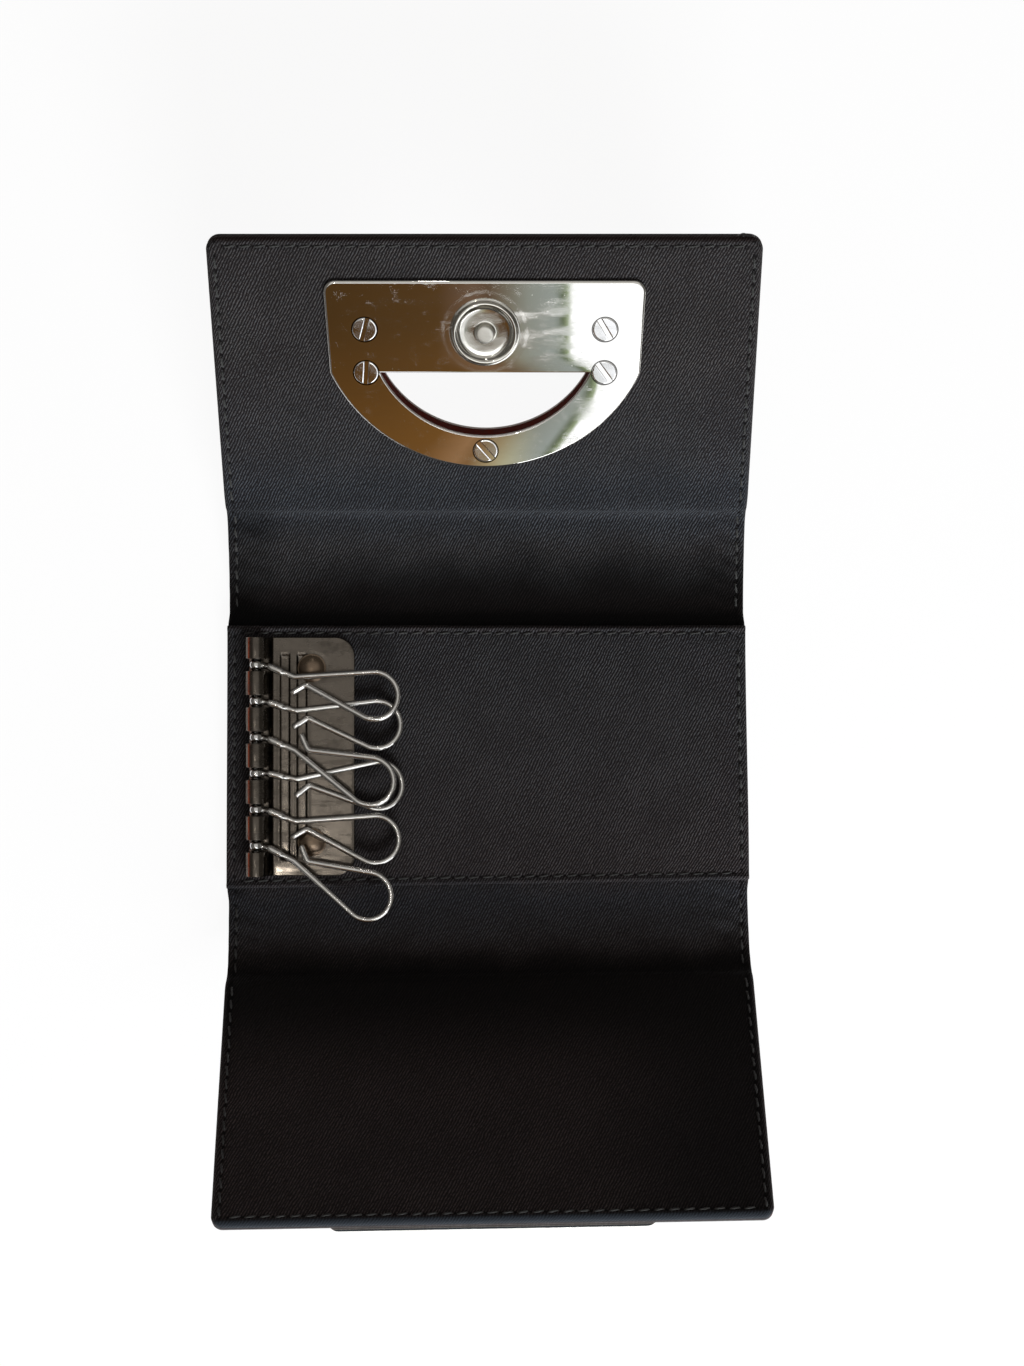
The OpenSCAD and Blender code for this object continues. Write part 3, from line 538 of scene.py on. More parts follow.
clothLook = {
    "lines": (0.45, 1.15), "speckle": (2.4, 3.0, 0.75), "speckleShare": (0.33, 0.67, 0.05, 1.95),
    "patches": (1.3, 2.0, 0.6), "warm": (1.12, 0.99, 0.9), "cool": (0.88, 1.0, 1.1), "wander": 8.0,
    "hole": 0.85, "holeWidth": (0.42, 0.32), "rim": 0.75,
    # painted light tints at places along the strip: cooler where the light falls, as on the flap, and warmer in
    # the shade of the folds and the front
    "paintedLightTints": ((-75, (1.18, 0.95, 0.87)), (-58, (1.25, 0.95, 0.85)), (-48, (1.4, 0.95, 0.75)),
              (-37, (1.01, 0.99, 0.98)), (-30, (0.95, 1.0, 1.07)), (-25, (1.09, 0.97, 0.93)),
              (0, (1.03, 0.99, 0.97)), (25, (0.99, 1.0, 1.0)), (31, (1.3, 0.95, 0.86)),
              (37, (1.01, 1.0, 0.98)), (43, (1.01, 1.0, 0.98)), (48, (0.92, 1.0, 1.07)),
              (57, (0.91, 1.0, 1.08)), (64, (0.98, 1.0, 1.01)), (85, (1.04, 0.99, 0.94))),
}
# Where painted shade darkens the cloth, as spans along and across the strip
paintedFoldShade = {
    "upper": (33.0, 48.5), "middle": (10.0, -10.0), "lower": (-46.0, -36.0), "front": (-50.0, -74.0, 0.0, 0.9),
    "leftLift": (-18.0, -46.0, 0.0, 4.0), "rightX": (12.0, 46.0), "rightS": (-36.0, -50.0), "right": -0.78,
    "cornerX": (-41.0, -47.0), "cornerTop": (57.0, 50.0), "cornerFoot": (20.0, 28.0), "corner": -0.42,
    "least": 0.12,
}


# Share of the cloth's colour left by painted shade: low in the folds, right of the lower fold and at the left edge
def paintedFoldShadeShare(tree, x, s):
    at = {key: value for key, value in paintedFoldShade.items() if isinstance(value, tuple)}
    lifted = calc(tree, "ADD", s, span(tree, x, *at["leftLift"]))
    upper = larger(tree, span(tree, lifted, *at["upper"]), span(tree, s, *at["middle"]))
    lower = larger(tree, span(tree, s, *at["lower"]), span(tree, s, *at["front"]))
    right = times(tree, span(tree, x, *at["rightX"]), span(tree, s, *at["rightS"]))
    lower = times(tree, lower, timesPlus(tree, right, paintedFoldShade["right"], 1.0))
    least = paintedFoldShade["least"]
    tone = timesPlus(tree, calc(tree, "MINIMUM", upper, lower), 1 - least, least)
    corner = times(tree, span(tree, x, *at["cornerX"]), span(tree, s, *at["cornerTop"]))
    corner = times(tree, corner, span(tree, s, *at["cornerFoot"]))
    return times(tree, tone, timesPlus(tree, corner, paintedFoldShade["corner"], 1.0))


# Cloth: twill lines and speckle, with painted shade deep in the folds, painted light tints along the strip and
# painted shade in the needle holes
def clothMaterial(name, endRows, folds=True):
    material, tree, shader = newMaterial(
        name, {"Specular IOR Level": 0.12, "Sheen Weight": 0.05, "Sheen Roughness": 0.45})
    v = place3(tree, True)
    fabric = useGroup(tree, twill, Vector=v)
    worn = timesPlus(tree, span(tree, fabric["Wear"], 0.35, 0.7), 0.3, 0.6)
    speckle = span(tree, noise(tree, v, *clothLook["speckle"]), *clothLook["speckleShare"])
    share = times(tree, times(tree, span(tree, fabric["Height"], *clothLook["lines"]), worn), speckle)
    x, y = parts(tree, v)[:2]
    wander = clothLook["wander"]
    s = calc(tree, "ADD", y, timesPlus(tree, noise(tree, v, 0.09, 4.0, 0.6), wander, -wander / 2))
    perStrip = 0.005  # the ramp spans 200 mm of the strip and holds half tints
    # Painted light tint by place along the strip
    ramp = colourRamp(tree, timesPlus(tree, s, perStrip, 0.5),
                      [(0.5 + perStrip * at, [c / 2 for c in tint]) for at, tint in clothLook["paintedLightTints"]])
    warm, cool = rgba(clothLook["warm"]), rgba(clothLook["cool"])
    patchy = mixColour(tree, noise(tree, v, *clothLook["patches"]), warm, cool)
    mixed = mixColour(tree, share, rgba(colours["cloth"]), rgba(colours["clothLight"]))
    mixed = mixColour(tree, 1.0, mixColour(tree, 1.0, mixed, ramp, "MULTIPLY"), patchy, "MULTIPLY")
    mixed = scaled(tree, mixed, 2.0)
    if folds:
        # Painted shade: darker deep in the folds, right of the lower fold and at the left edge
        mixed = scaled(tree, mixed, paintedFoldShadeShare(tree, x, s))
        # Painted highlight: the front's rolled free edge is lighter and bluish, as where it catches the light
        mixed = mixColour(tree, span(tree, y, lowEnd + 1.5, lowEnd + 0.7), mixed, rgba(colours["paintedEdgeLight"]))
    half, sideways = case["width"] / 2, calc(tree, "ABSOLUTE", x)
    # Painted shade in the needle holes along the sides and the ends
    sideWidth, endWidth = clothLook["holeWidth"]
    onSide = times(tree, near(tree, sideways, half - cloth["stitchInset"] - 0.1, sideWidth), pricks(tree, y))
    onEnds = [times(tree, near(tree, y, at, endWidth), pricks(tree, x)) for at in endRows]
    hole = times(tree, larger(tree, onSide, larger(tree, *onEnds)), clothLook["hole"])
    rim = span(tree, sideways, half - 0.9, half + 1.2, 0.0, clothLook["rim"])
    rim = times(tree, rim, span(tree, y, 20.0, -40.0, 0.35, 1.0))
    rim = larger(tree, rim, span(tree, y, topEnd - 0.9, topEnd + 0.6, 0.0, clothLook["rim"]))
    mixed = mixColour(tree, rim, mixed, rgba(colours["rim"]))
    fill(tree, shader, {"Base Color": mixColour(tree, hole, mixed, rgba(colours["hole"])),
                        "Roughness": span(tree, fabric["Fuzz"], 0.2, 0.8, 0.72, 0.95)})
    bump(tree, shader, fabric["Height"], 0.12, 0.8)
    return material


def leatherMaterial():
    material, tree, shader = newMaterial(
        "leather", {"Specular IOR Level": 0.4, "Coat Weight": 0.12, "Coat Roughness": 0.3})
    v = place3(tree, True)
    cells = useGroup(tree, grain, Vector=v)
    half = case["width"] / 2
    edge = span(tree, calc(tree, "ABSOLUTE", parts(tree, v)[0]), half - 0.35, half + 0.15)
    base = mixColour(tree, span(tree, cells["Shade"], 0.3, 0.7), rgba(colours["leather"]),
                     rgba(colours["leather"], 1.5))
    fill(tree, shader, {"Base Color": mixColour(tree, edge, base, rgba(colours["leatherEdge"])),
                        "Roughness": span(tree, cells["Height"], 0.2, 1.3, 0.62, 0.4)})
    bump(tree, shader, cells["Height"], 0.07, 0.7)
    return material


plain = {
    "thread": {"dark": 0.55, "streaks": (3.5, 3.0, 0.6), "spread": (0.3, 0.7), "rough": (0.6, 0.85),
               "bump": (0.05, 0.8), "constants": {"Specular IOR Level": 0.3, "Sheen Weight": 0.1}},
    "board": {"dark": 0.7, "streaks": (1.8, 5.0, 0.7), "spread": None, "rough": (0.75, 0.95),
              "bump": (0.06, 0.5), "constants": {"Specular IOR Level": 0.2}},
    "collar": {"dark": 0.5, "streaks": (0.9, 4.0, 0.6), "spread": (0.3, 0.7), "rough": (0.45, 0.65),
               "bump": (0.03, 0.5), "constants": {"Specular IOR Level": 0.05}},
}


# Dull material with streaks between a dark and the full colour
def plainMaterial(name, key):
    look, colour = plain[key], colours[key]
    material, tree, shader = newMaterial(name, look["constants"])
    streaks = noise(tree, place3(tree, False), *look["streaks"])
    share = span(tree, streaks, *look["spread"]) if look["spread"] else streaks
    fill(tree, shader, {"Base Color": mixColour(tree, share, rgba(colour, look["dark"]), rgba(colour)),
                        "Roughness": span(tree, streaks, 0.2, 0.8, *look["rough"])})
    bump(tree, shader, streaks, *look["bump"])
    return material


metalLook = {
    "cloud": (0.38, 0.68), "scratchRough": 0.14, "ringWobble": 0.5, "ringEdge": 0.4, "dark": 0.42,
    "pitPatch": (0.16, 3.0, 0.6), "pit": (0.85, 2.0, 0.6), "seamWidth": 0.16,
}


# Polished metal with scratches and smears, from low to high roughness; dull adds a worn, darker finish
# and pits adds speckles. A ring is a middle, two radii and the added roughness; polished and wiped
# spots are a middle, a radius and the added roughness; seams are dark rings round a middle.
def metalMaterial(name, colour, low, high, dull, bumpy=0.01, pits=0.0,
                  ring=None, polished=None, wiped=None, seams=()):
    material, tree, shader = newMaterial(name, {"Metallic": 1.0})
    v = place3(tree, False)
    marks = useGroup(tree, scuffs, Vector=v)
    scratch, smear, speck = (marks[k] for k in ("Scratch", "Smear", "Speck"))

    def awayFrom(point):
        return vectorCalc(tree, "DISTANCE", v, point, "Value")

    cloud = span(tree, smear, *metalLook["cloud"])
    rough = timesPlus(tree, cloud, high - low, low)
    rough = timesPlus(tree, larger(tree, scratch, speck), metalLook["scratchRough"], rough, clamp=True)
    if ring:
        middle, first, last, amount = ring
        wobble, edge = metalLook["ringWobble"], metalLook["ringEdge"]
        away = calc(tree, "ADD", awayFrom(middle), timesPlus(tree, noise(tree, v, 0.8, 2.0), wobble, -wobble / 2))
        worn = times(tree, span(tree, away, first - edge, first), span(tree, away, last, last + edge, 1.0, 0.0))
        rough = timesPlus(tree, worn, amount, rough)
    if polished:
        middle, reach, amount = polished
        gloss = span(tree, awayFrom(middle), reach, reach * 0.3)
        rough = timesPlus(tree, gloss, amount, rough, clamp=True)
    if wiped:
        middle, reach, amount = wiped
        haze = times(tree, span(tree, awayFrom(middle), reach, reach * 0.4), span(tree, smear, 0.35, 0.7))
        rough = timesPlus(tree, haze, amount, rough)
    shade = times(tree, cloud, dull)
    if pits:
        patch = span(tree, noise(tree, v, *metalLook["pitPatch"]), 0.42, 0.64, 0.15, 1.0)
        spots = times(tree, span(tree, noise(tree, v, *metalLook["pit"]), 0.4, 0.7), patch)
        shade = timesPlus(tree, spots, pits, shade, clamp=True)
    mixed = mixColour(tree, shade, rgba(colour), rgba(colour, metalLook["dark"]))
    for middle, radius in seams:
        seam = near(tree, awayFrom(middle), radius, metalLook["seamWidth"])
        mixed = mixColour(tree, seam, mixed, rgba(colours["seam"]))
    fill(tree, shader, {"Base Color": mixed, "Roughness": rough})
    bump(tree, shader, timesPlus(tree, speck, 0.25, timesPlus(tree, scratch, 0.3, smear)), bumpy, 0.6)
    return material


panelRow = case["middle"] / 2 - cloth["stitchInset"]
liningCloth = clothMaterial("liningTwill", (topEnd - cloth["stitchInset"], lowEnd + cloth["stitchInset"]))
panelCloth = clothMaterial("panelTwill", (panelRow, -panelRow), folds=False)
leather = leatherMaterial()
thread, greyboard = plainMaterial("thread", "thread"), plainMaterial("greyboard", "board")
edgePaint = plainMaterial("edgePaint", "collar")


def paint(thing, material):
    thing.data.materials.clear()
    thing.data.materials.append(material)
    return thing


print("stage: camera and light")
studio = {
    "cameraPlace": (5.35, 15.0, 433.1), "lens": 54.39, "sensor": 36.0,
    "key": 20.0, "keyPlace": (300, -800, 400), "keySize": (520, 360), "keyColour": (0.94, 0.97, 1.0),
    "keyTarget": (0, 30, 0), "floorGlow": 0.93, "floorHalf": 900,
    # what plain surfaces, mirrors and the camera see all round
    "ambient": ((1.0, 0.86, 0.83), 0.26), "mirrored": ((0.8, 0.77, 0.72), 0.15), "behind": ((1, 1, 1), 1.0),
}
scene = bpy.context.scene
camera = bpy.data.objects.new("camera", bpy.data.cameras.new("camera"))
scene.collection.objects.link(camera)
camera.location = [c * mm for c in studio["cameraPlace"]]
camera.data.sensor_fit = "VERTICAL"
camera.data.sensor_height = studio["sensor"]
camera.data.lens = studio["lens"]
camera.data.clip_start = 0.01
scene.camera = camera
scene.view_settings.view_transform = "Standard"

keyData = bpy.data.lights.new("keyLight", "AREA")
keyData.shape = "RECTANGLE"
keyData.size, keyData.size_y = (c * mm for c in studio["keySize"])
keyData.energy, keyData.color = studio["key"], studio["keyColour"]
keyLight = bpy.data.objects.new("keyLight", keyData)
scene.collection.objects.link(keyLight)
keyPlace = Vector(studio["keyPlace"])
keyLight.location = keyPlace * mm
keyLight.rotation_euler = (Vector(studio["keyTarget"]) - keyPlace).to_track_quat("-Z", "Y").to_euler()
keyLight.visible_glossy = False


# Studio card that only reflections see
def card(name, middle, size, colour, strength, target):
    way = (Vector(target) - Vector(middle)).normalized()
    side = Vector((0, 0, 1)).cross(way).normalized()
    c, w, t = Vector(middle), side * size[0] / 2, way.cross(side) * size[1] / 2
    thing = meshObject(name, [c - w - t, c + w - t, c + w + t, c - w + t], [(0, 1, 2, 3)])
    material = bpy.data.materials.new(name)
    material.use_nodes = True
    material.node_tree.nodes.clear()
    emit = put(material.node_tree, "ShaderNodeEmission", {"Color": rgba(colour), "Strength": strength})
    put(material.node_tree, "ShaderNodeOutputMaterial", {"Surface": emit.outputs[0]})
    paint(thing, material)
    thing.visible_camera = thing.visible_shadow = thing.visible_diffuse = False
    return thing


# Each card's middle, size, colour, strength and what it faces
cards = {
    "keyCard": (studio["keyPlace"], studio["keySize"], studio["keyColour"], 4.0, studio["keyTarget"]),
    "roomCard": ((0, -405, 405), (620, 330), (1, 1, 1), 1.0, (0, 70, 20)),
    "overheadCard": ((20, 40, 620), (760, 760), (1.0, 0.98, 0.95), 0.55, (20, 41, 0)),
    "wireCard": ((0, -235, 430), (150, 130), (0.95, 0.98, 1.0), 3.0, (-30, 0, 5)),
    "glintCard": ((-37, 426, 405), (20, 16), (1.0, 0.98, 0.95), 30.0, (-11, 98, 28)),
    "sparkCard": ((-112, -76, 600), (22, 16), (1.0, 0.97, 0.92), 55.0, (-112, -75, 0)),
    "warmCard": ((-210, 0, 30), (260, 36), (1.0, 0.14, 0.02), 1.5, (-47, 0, 6)),
}
cardThings = {name: card(name, *values) for name, values in cards.items()}

world = bpy.data.worlds.new("studio")
scene.world = world
world.use_nodes = True
tree = world.node_tree
tree.nodes.clear()
rays = put(tree, "ShaderNodeLightPath").outputs
around = [put(tree, "ShaderNodeBackground", {"Color": rgba(colour), "Strength": strength}).outputs[0]
          for colour, strength in (studio["ambient"], studio["mirrored"], studio["behind"])]
glossy = put(tree, "ShaderNodeMixShader", {0: rays["Is Glossy Ray"], 1: around[0], 2: around[1]})
seen = put(tree, "ShaderNodeMixShader", {0: rays["Is Camera Ray"], 1: glossy.outputs[0], 2: around[2]})
put(tree, "ShaderNodeOutputWorld", {"Surface": seen.outputs[0]})

# What the half-moon plate mirrors: a dark room to the left and a bright window to the right
room = {
    "slants": ((421.0, 412.0, 0.0, -14.0), (412.0, 368.0, 0.0, 29.0)),  # the stops shift with the height
    "across": (-104.0, 96.0), "stops": (
        (0.0, (0.07, 0.036, 0.012)), (0.3, (0.092, 0.048, 0.017)), (0.43, (0.16, 0.1, 0.066)),
        (0.48, (0.115, 0.07, 0.04)), (0.56, (0.2, 0.18, 0.14)), (0.63, (0.28, 0.3, 0.27)),
        (0.722, (0.33, 0.37, 0.36)), (0.748, (0.13, 0.16, 0.1)), (0.766, (0.34, 0.42, 0.25)),
        (0.775, (1.3, 1.33, 1.4))),
    "golden": (1.9, 1.7, 1.25), "goldenLow": (440.0, 385.0), "goldenLeft": (22.0, -8.0),
}
tree = cardThings["roomCard"].data.materials[0].node_tree
spot = parts(tree, place3(tree, False))
slant = calc(tree, "ADD", *(span(tree, spot[2], *values) for values in room["slants"]))
ramp = colourRamp(tree, span(tree, calc(tree, "ADD", spot[0], slant), *room["across"]), room["stops"])
golden = times(tree, span(tree, spot[2], *room["goldenLow"]), span(tree, spot[0], *room["goldenLeft"]))
lowGlow = mixColour(tree, golden, (1, 1, 1, 1), rgba(room["golden"]))
emission = next(n for n in tree.nodes if n.type == "EMISSION")
tree.links.new(mixColour(tree, 1.0, ramp, lowGlow, "MULTIPLY"), emission.inputs["Color"])

corners = [(x * studio["floorHalf"], y * studio["floorHalf"], 0) for x, y in ((-1, -1), (1, -1), (1, 1), (-1, 1))]
floor = meshObject("floor", corners, [(0, 1, 2, 3)])
floorMaterial, tree, floorShader = newMaterial(
    "paleFloor", {"Roughness": 0.9, "Specular IOR Level": 0.1, "Base Color": (0.9, 0.9, 0.9, 1)})
glow = put(tree, "ShaderNodeEmission", {"Color": (1, 1, 1, 1), "Strength": 1.0})
share = times(tree, put(tree, "ShaderNodeLightPath").outputs["Is Camera Ray"], studio["floorGlow"])
mixed = put(tree, "ShaderNodeMixShader", {0: share, 1: floorShader.outputs[0], 2: glow.outputs[0]})
fill(tree, tree.nodes["Material Output"], {"Surface": mixed.outputs[0]})
paint(floor, floorMaterial)

print("stage: cloth lining")


def liningRoll(s):
    return cloth["spineRoll"] + (cloth["roll"] - cloth["spineRoll"]) * panelShare(s)


midUpper = case["hinge"] + case["upperSpine"] / 2
midLower = -(case["hinge"] + case["lowerSpine"] / 2)
# Name, start, end, whether the end is free, its corners, the two bodies, and the fold with its direction
segments = (
    ("flap", midUpper, topEnd, True, case["flapCorner"], "upper_spine", "flap", upperCrease, 1),
    ("upper", 0.0, midUpper, False, 0, "base", "upper_spine", case["hinge"], 1),
    ("lower", 0.0, midLower, False, 0, "base", "lower_spine", -case["hinge"], -1),
    ("front", midLower, lowEnd, True, case["frontCorner"], "lower_spine", "front_panel", lowerCrease, -1),
)
liningNodes = {
    "flap": ["flap_lining"], "upper": ["upper_spine_lining", "middle_lining"],
    "lower": ["lower_spine_lining"], "front": ["front_lining"],
}
coverNodes = {
    "flap": ["flap_cover"], "upper": ["upper_spine_cover", "middle_cover"],
    "lower": ["lower_spine_cover"], "front": ["front_cover"],
}
for key, start, end, free, corner, a, b, crease, way in segments:
    sheet = shell(key + "Lining", start, end, free, corner, clothHeight, liningRoll, cloth["grid"], cloth["tuck"])
    paint(sheet, liningCloth)
    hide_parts(*liningNodes[key])
    bendBetween(sheet, crease, way)

print("stage: leather cover")
cover = {"grid": 1.6, "roll": 0.3, "tuck": 0.6, "high": 0.03, "wave": 0.03}


def coverHeight(x, s):
    return cover["wave"] * softNoise(x, s, 14, 21) + cover["high"]


def coverRoll(s):
    return np.full(np.shape(s), cover["roll"])


for key, start, end, free, corner, a, b, crease, way in segments:
    shape = shell(key + "Cover", start, end, free, corner, coverHeight, coverRoll, cover["grid"], cover["tuck"],
                  down=False)
    paint(shape, leather)
    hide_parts(*coverNodes[key])
    bendBetween(shape, crease, way)


# Half-moon: a top edge with round corners, sides that draw in, and an arc from side to side
def moonOutline(width, foot, length, arc, corner):
    half, middle = width / 2, arc - length
    slope = (width - foot) / 2 / (length - corner)
    y = -corner
    while (half - (-corner - y) * slope) ** 2 + (y - middle) ** 2 < arc * arc and y > -length:
        y -= 0.01
    start = math.atan2(y - middle, half - (-corner - y) * slope)
    points = arcPoints(half - corner, -corner, corner, [math.pi / 2 * k / 8 for k in range(9)])
    points += arcPoints(corner - half, -corner, corner, [math.pi / 2 * (1 + k / 8) for k in range(9)])
    points += arcPoints(0.0, middle, arc, [math.pi - start + (math.pi + 2 * start) * k / 72 for k in range(73)])
    return np.array(points)


def windowOutline(grow=0.0):
    middle, radius = window["arc"] - window["drop"] - window["length"], window["arc"] + grow
    start = math.asin((grow - window["drop"] - middle) / radius)
    return np.array(arcPoints(0.0, middle, radius, np.linspace(math.pi - start, 2 * math.pi + start, 65)))


def offsetLoop(points, inset):
    normals = []
    for side in (points - np.roll(points, 1, 0), np.roll(points, -1, 0) - points):
        n = np.stack([side[:, 1], -side[:, 0]], -1)
        normals.append(n / (np.linalg.norm(n, axis=1)[:, None] + 1e-12))
    m = normals[0] + normals[1]
    m /= np.linalg.norm(m, axis=1)[:, None] + 1e-12
    stretch = inset / np.clip(np.sum(m * normals[0], 1), 0.45, 1)
    return points - m * stretch[:, None]


# Solid between rings of an outline: each ring is an inset and a height. Holes have rings too.
def platePoints(outline, rings, holes=(), holeRings=None):
    verts, walls, caps = [], [], []
    ends = {-1: [], 1: []}  # border loops of the lower and the upper face
    for loop, steps, sign in [(outline, rings, 1)] + [(hole, holeRings or rings, -1) for hole in holes]:
        n, first = len(loop), len(verts)
        for inset, height in steps:
            verts += [(x, y, height) for x, y in offsetLoop(loop, inset * sign)]
        for k in range(len(steps) - 1):
            for i in range(n):
                a, b = first + k * n + i, first + k * n + (i + 1) % n
                q = (a, b, b + n, a + n)
                walls.append(q if sign > 0 else q[::-1])
        ends[-1].append(range(first, first + n))
        ends[1].append(range(len(verts) - n, len(verts)))
    for sign, loops in ends.items():
        index = [i for loop in loops for i in loop]
        for triangle in tessellate_polygon([[Vector(verts[i]) for i in loop] for loop in loops]):
            t = tuple(index[i] for i in triangle)
            a, b, c = (Vector(verts[i]) for i in t)
            up = (b - a).cross(c - a).z > 0
            caps.append(t if up == (sign > 0) else t[::-1])
    return verts, walls, caps


def joined(shapes):
    verts, faces = [], []
    for v, f in shapes:
        n = len(verts)
        verts += list(v)
        faces += [tuple(i + n for i in q) for q in f]
    return verts, faces


# Object of one or more plate solids, put in place by put3, with flat faces kept flat
def plateSolid(name, solids, put3):
    verts, walls = joined((v, w) for v, w, c in solids)
    caps = joined((v, c) for v, w, c in solids)[1]
    thing = meshObject(name, put3(np.array(verts)), walls + caps)
    thing.data.set_sharp_from_angle(angle=math.radians(42))
    a, b, c = (Vector(v) for v in put3(np.array([(0.0, 0.0, 0.0), (10.0, 0.0, 0.0), (0.0, -10.0, 0.0)])))
    facing = (b - a).cross(c - a).normalized()
    for polygon in thing.data.polygons:
        if abs(polygon.normal.dot(facing)) > 0.9998:
            polygon.use_smooth = False
    return thing


def onFlap(points, lift=0.0):
    s = upperCrease + halfMoon["edgeY"] + points[:, 1]
    return place(points[:, 0], s, points[:, 2] + case["panelThick"] + lift)


def underFlap(points):
    return onFlap(points, -case["panelThick"])


def onFront(points):
    return place(points[:, 0], lowerCrease - catchPlate["edgeY"] - points[:, 1], -points[:, 2])


# Surface turned about z from a profile of radius and height
def turned(profile, segments):
    n = len(profile)
    verts = [(r * math.cos(a), r * math.sin(a), z)
             for a in [2 * math.pi * k / segments for k in range(segments)] for r, z in profile]
    pairs = [(k * n + i, (k + 1) % segments * n + i) for k in range(segments) for i in range(n - 1)]
    return np.array(verts), [(a, b, b + 1, a + 1) for a, b in pairs]


def finish(thing, material, slot, body, *nodes):
    paint(thing, material)
    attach(thing, body)
    if nodes:
        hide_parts(*nodes)
    return thing


print("stage: half-moon plate")
screw = {
    "head": 4.9, "slotWidth": 0.75, "slotDepth": 0.34,
    "places": np.array([(-23.7, -9.9), (-23.7, -18.9), (23.7, -9.9), (23.7, -18.9), (0.0, -35.7)]),
    "turns": [-15, -5, 30, 35, 40],
}
snap = {"y": 39.25, "rim": 12.9, "post": 3.9, "postHigh": 1.7}


# Place on the half-moon plate's face, in millimetres in the row frame
def onFace(x, y, up=0.0):
    return tuple(place(x, upperCrease + y, case["panelThick"] + halfMoon["thick"] + up))


mirror = metalMaterial(
    "mirrorPlate", colours["plate"], 0.012, 0.05, dull=0.06, bumpy=0.0006,
    ring=(onFace(0.0, snap["y"]), 8.1, 8.4, 0.05), wiped=(onFace(9.5, snap["y"] + 1.0), 9.5, 0.12),
    seams=[(onFace(x, halfMoon["edgeY"] + y), screw["head"] / 2 + 0.1) for x, y in screw["places"]])
nickel = metalMaterial("nickel", colours["nickel"], 0.08, 0.16, dull=0.15, bumpy=0.002)
studNickel = metalMaterial("studNickel", colours["stud"], 0.09, 0.2, dull=0.25, bumpy=0.002,
                           ring=(onFace(0.0, snap["y"], snap["postHigh"]), -0.5, 2.0, 0.27))
wireNickel = metalMaterial("wireNickel", colours["wire"], 0.12, 0.18, dull=0.3, bumpy=0.0005)
bronze = metalMaterial("bronzeDome", colours["bronze"], 0.24, 0.34, dull=0.3, bumpy=0.001)
pewter = metalMaterial("pewter", colours["pewter"], 0.2, 0.32, dull=0.35, bumpy=0.002, pits=0.4,
                       polished=((-43.5, -24.0, 4.9), 6.5, -0.1))
# Painted shade: dark metal for the floors of the screw slots
slotShade = metalMaterial("slotShade", colours["slot"], 0.3, 0.4, dull=0.3)

bevel, drop, thick, back = (halfMoon[key] for key in ("bevel", "bevelDrop", "thick", "frameThick"))
outline = moonOutline(halfMoon["width"], halfMoon["foot"], halfMoon["length"], halfMoon["arc"],
                      halfMoon["corner"])
rim = [(0.1, 0.02), (0.0, 0.12), (0.0, thick - drop), (0.05, thick - drop * 0.72),
       (bevel * 0.45, thick - drop * 0.22), (bevel * 0.9, thick - drop * 0.02), (bevel, thick)]
lip = [(0.0, 0.02), (0.0, thick - 0.2), (0.03, thick - 0.07), (0.14, thick - 0.015), (0.22, thick)]
plate = plateSolid("halfMoonPlate", [platePoints(outline, rim, [windowOutline()], lip)], onFlap)
finish(plate, mirror, "plate", "flap", "flap_plate")

rimBack = [(0.55, -back), (0.2, -back + 0.06), (0.0, -back + 0.35), (0.0, -0.02)]
lipBack = [(0.4, -back), (0.1, -back + 0.08), (0.0, -back + 0.3), (0.0, -0.02)]
framePiece = plateSolid("outerFrame", [platePoints(outline, rimBack, [windowOutline()], lipBack)], underFlap)
finish(framePiece, mirror, "plate", "flap", "flap_frame")
collarRings = [(0.0, -0.02), (0.0, case["panelThick"])]
collarPoints = platePoints(windowOutline(window["wall"]), collarRings, [windowOutline()])
finish(plateSolid("windowCollar", [collarPoints], underFlap), edgePaint, "plate", "flap")

print("stage: screws and snap")


# One half of a slotted head, on the given side of its slot
def halfHead(side, degrees):
    radius = screw["head"] / 2
    start = math.asin(screw["slotWidth"] / 2 / radius)
    points = arcPoints(0.0, 0.0, radius, np.linspace(start, math.pi - start, 25))[::side]
    return np.array([spin(x, side * y, degrees) for x, y in points])


low = thick - screw["slotDepth"]
headRings = [(0.0, low - 0.1), (0.0, thick - 0.09), (0.04, thick), (0.13, thick + 0.045), (0.3, thick + 0.06)]
fullTurn = np.linspace(0, 2 * math.pi, 33)[:-1]
heads, shadedFloors = [], []
for spot, degrees in zip(screw["places"], screw["turns"]):
    heads += [platePoints(halfHead(side, degrees + 90) + spot, headRings) for side in (1, -1)]
    circle = np.array(arcPoints(*spot, screw["head"] / 2 - 0.02, fullTurn))
    shadedFloors.append(platePoints(circle, [(0.0, low - 0.15), (0.0, low)]))
screws = plateSolid("plateScrews", heads, onFlap)
# The slot floors carry painted shade
finish(plateSolid("slotShadeFloors", shadedFloors, onFlap), slotShade, "screw", "flap")
finish(screws, nickel, "screw", "flap", "flap_screws")

rimR, postR = snap["rim"] / 2, snap["post"] / 2
profile = [(7.0, 0.0), (6.98, 0.09), (6.85, 0.12), (rimR + 0.06, 0.13), (rimR, 0.2), (rimR, 0.72),
           (rimR - 0.1, 0.92), (rimR - 0.32, 1.0), (rimR - 0.62, 0.97), (rimR - 0.9, 0.8), (rimR - 1.1, 0.5),
           (rimR - 1.35, 0.31), (rimR - 1.75, 0.23), (4.0, 0.195), (3.4, 0.18), (2.9, 0.17), (2.3, 0.17),
           (postR + 0.06, 0.18), (postR, 0.26), (postR, 1.25), (postR - 0.08, 1.5), (postR - 0.3, 1.66),
           (postR - 0.62, snap["postHigh"]), (0.5, 1.68), (0.0, 1.675)]
verts, faces = turned(profile, 96)
onPlate = (0.0, upperCrease + snap["y"], case["panelThick"] + thick)
stud = meshObject("snapStud", placed(verts + onPlate), faces)
finish(stud, studNickel, "snap", "flap", "snap_stud")

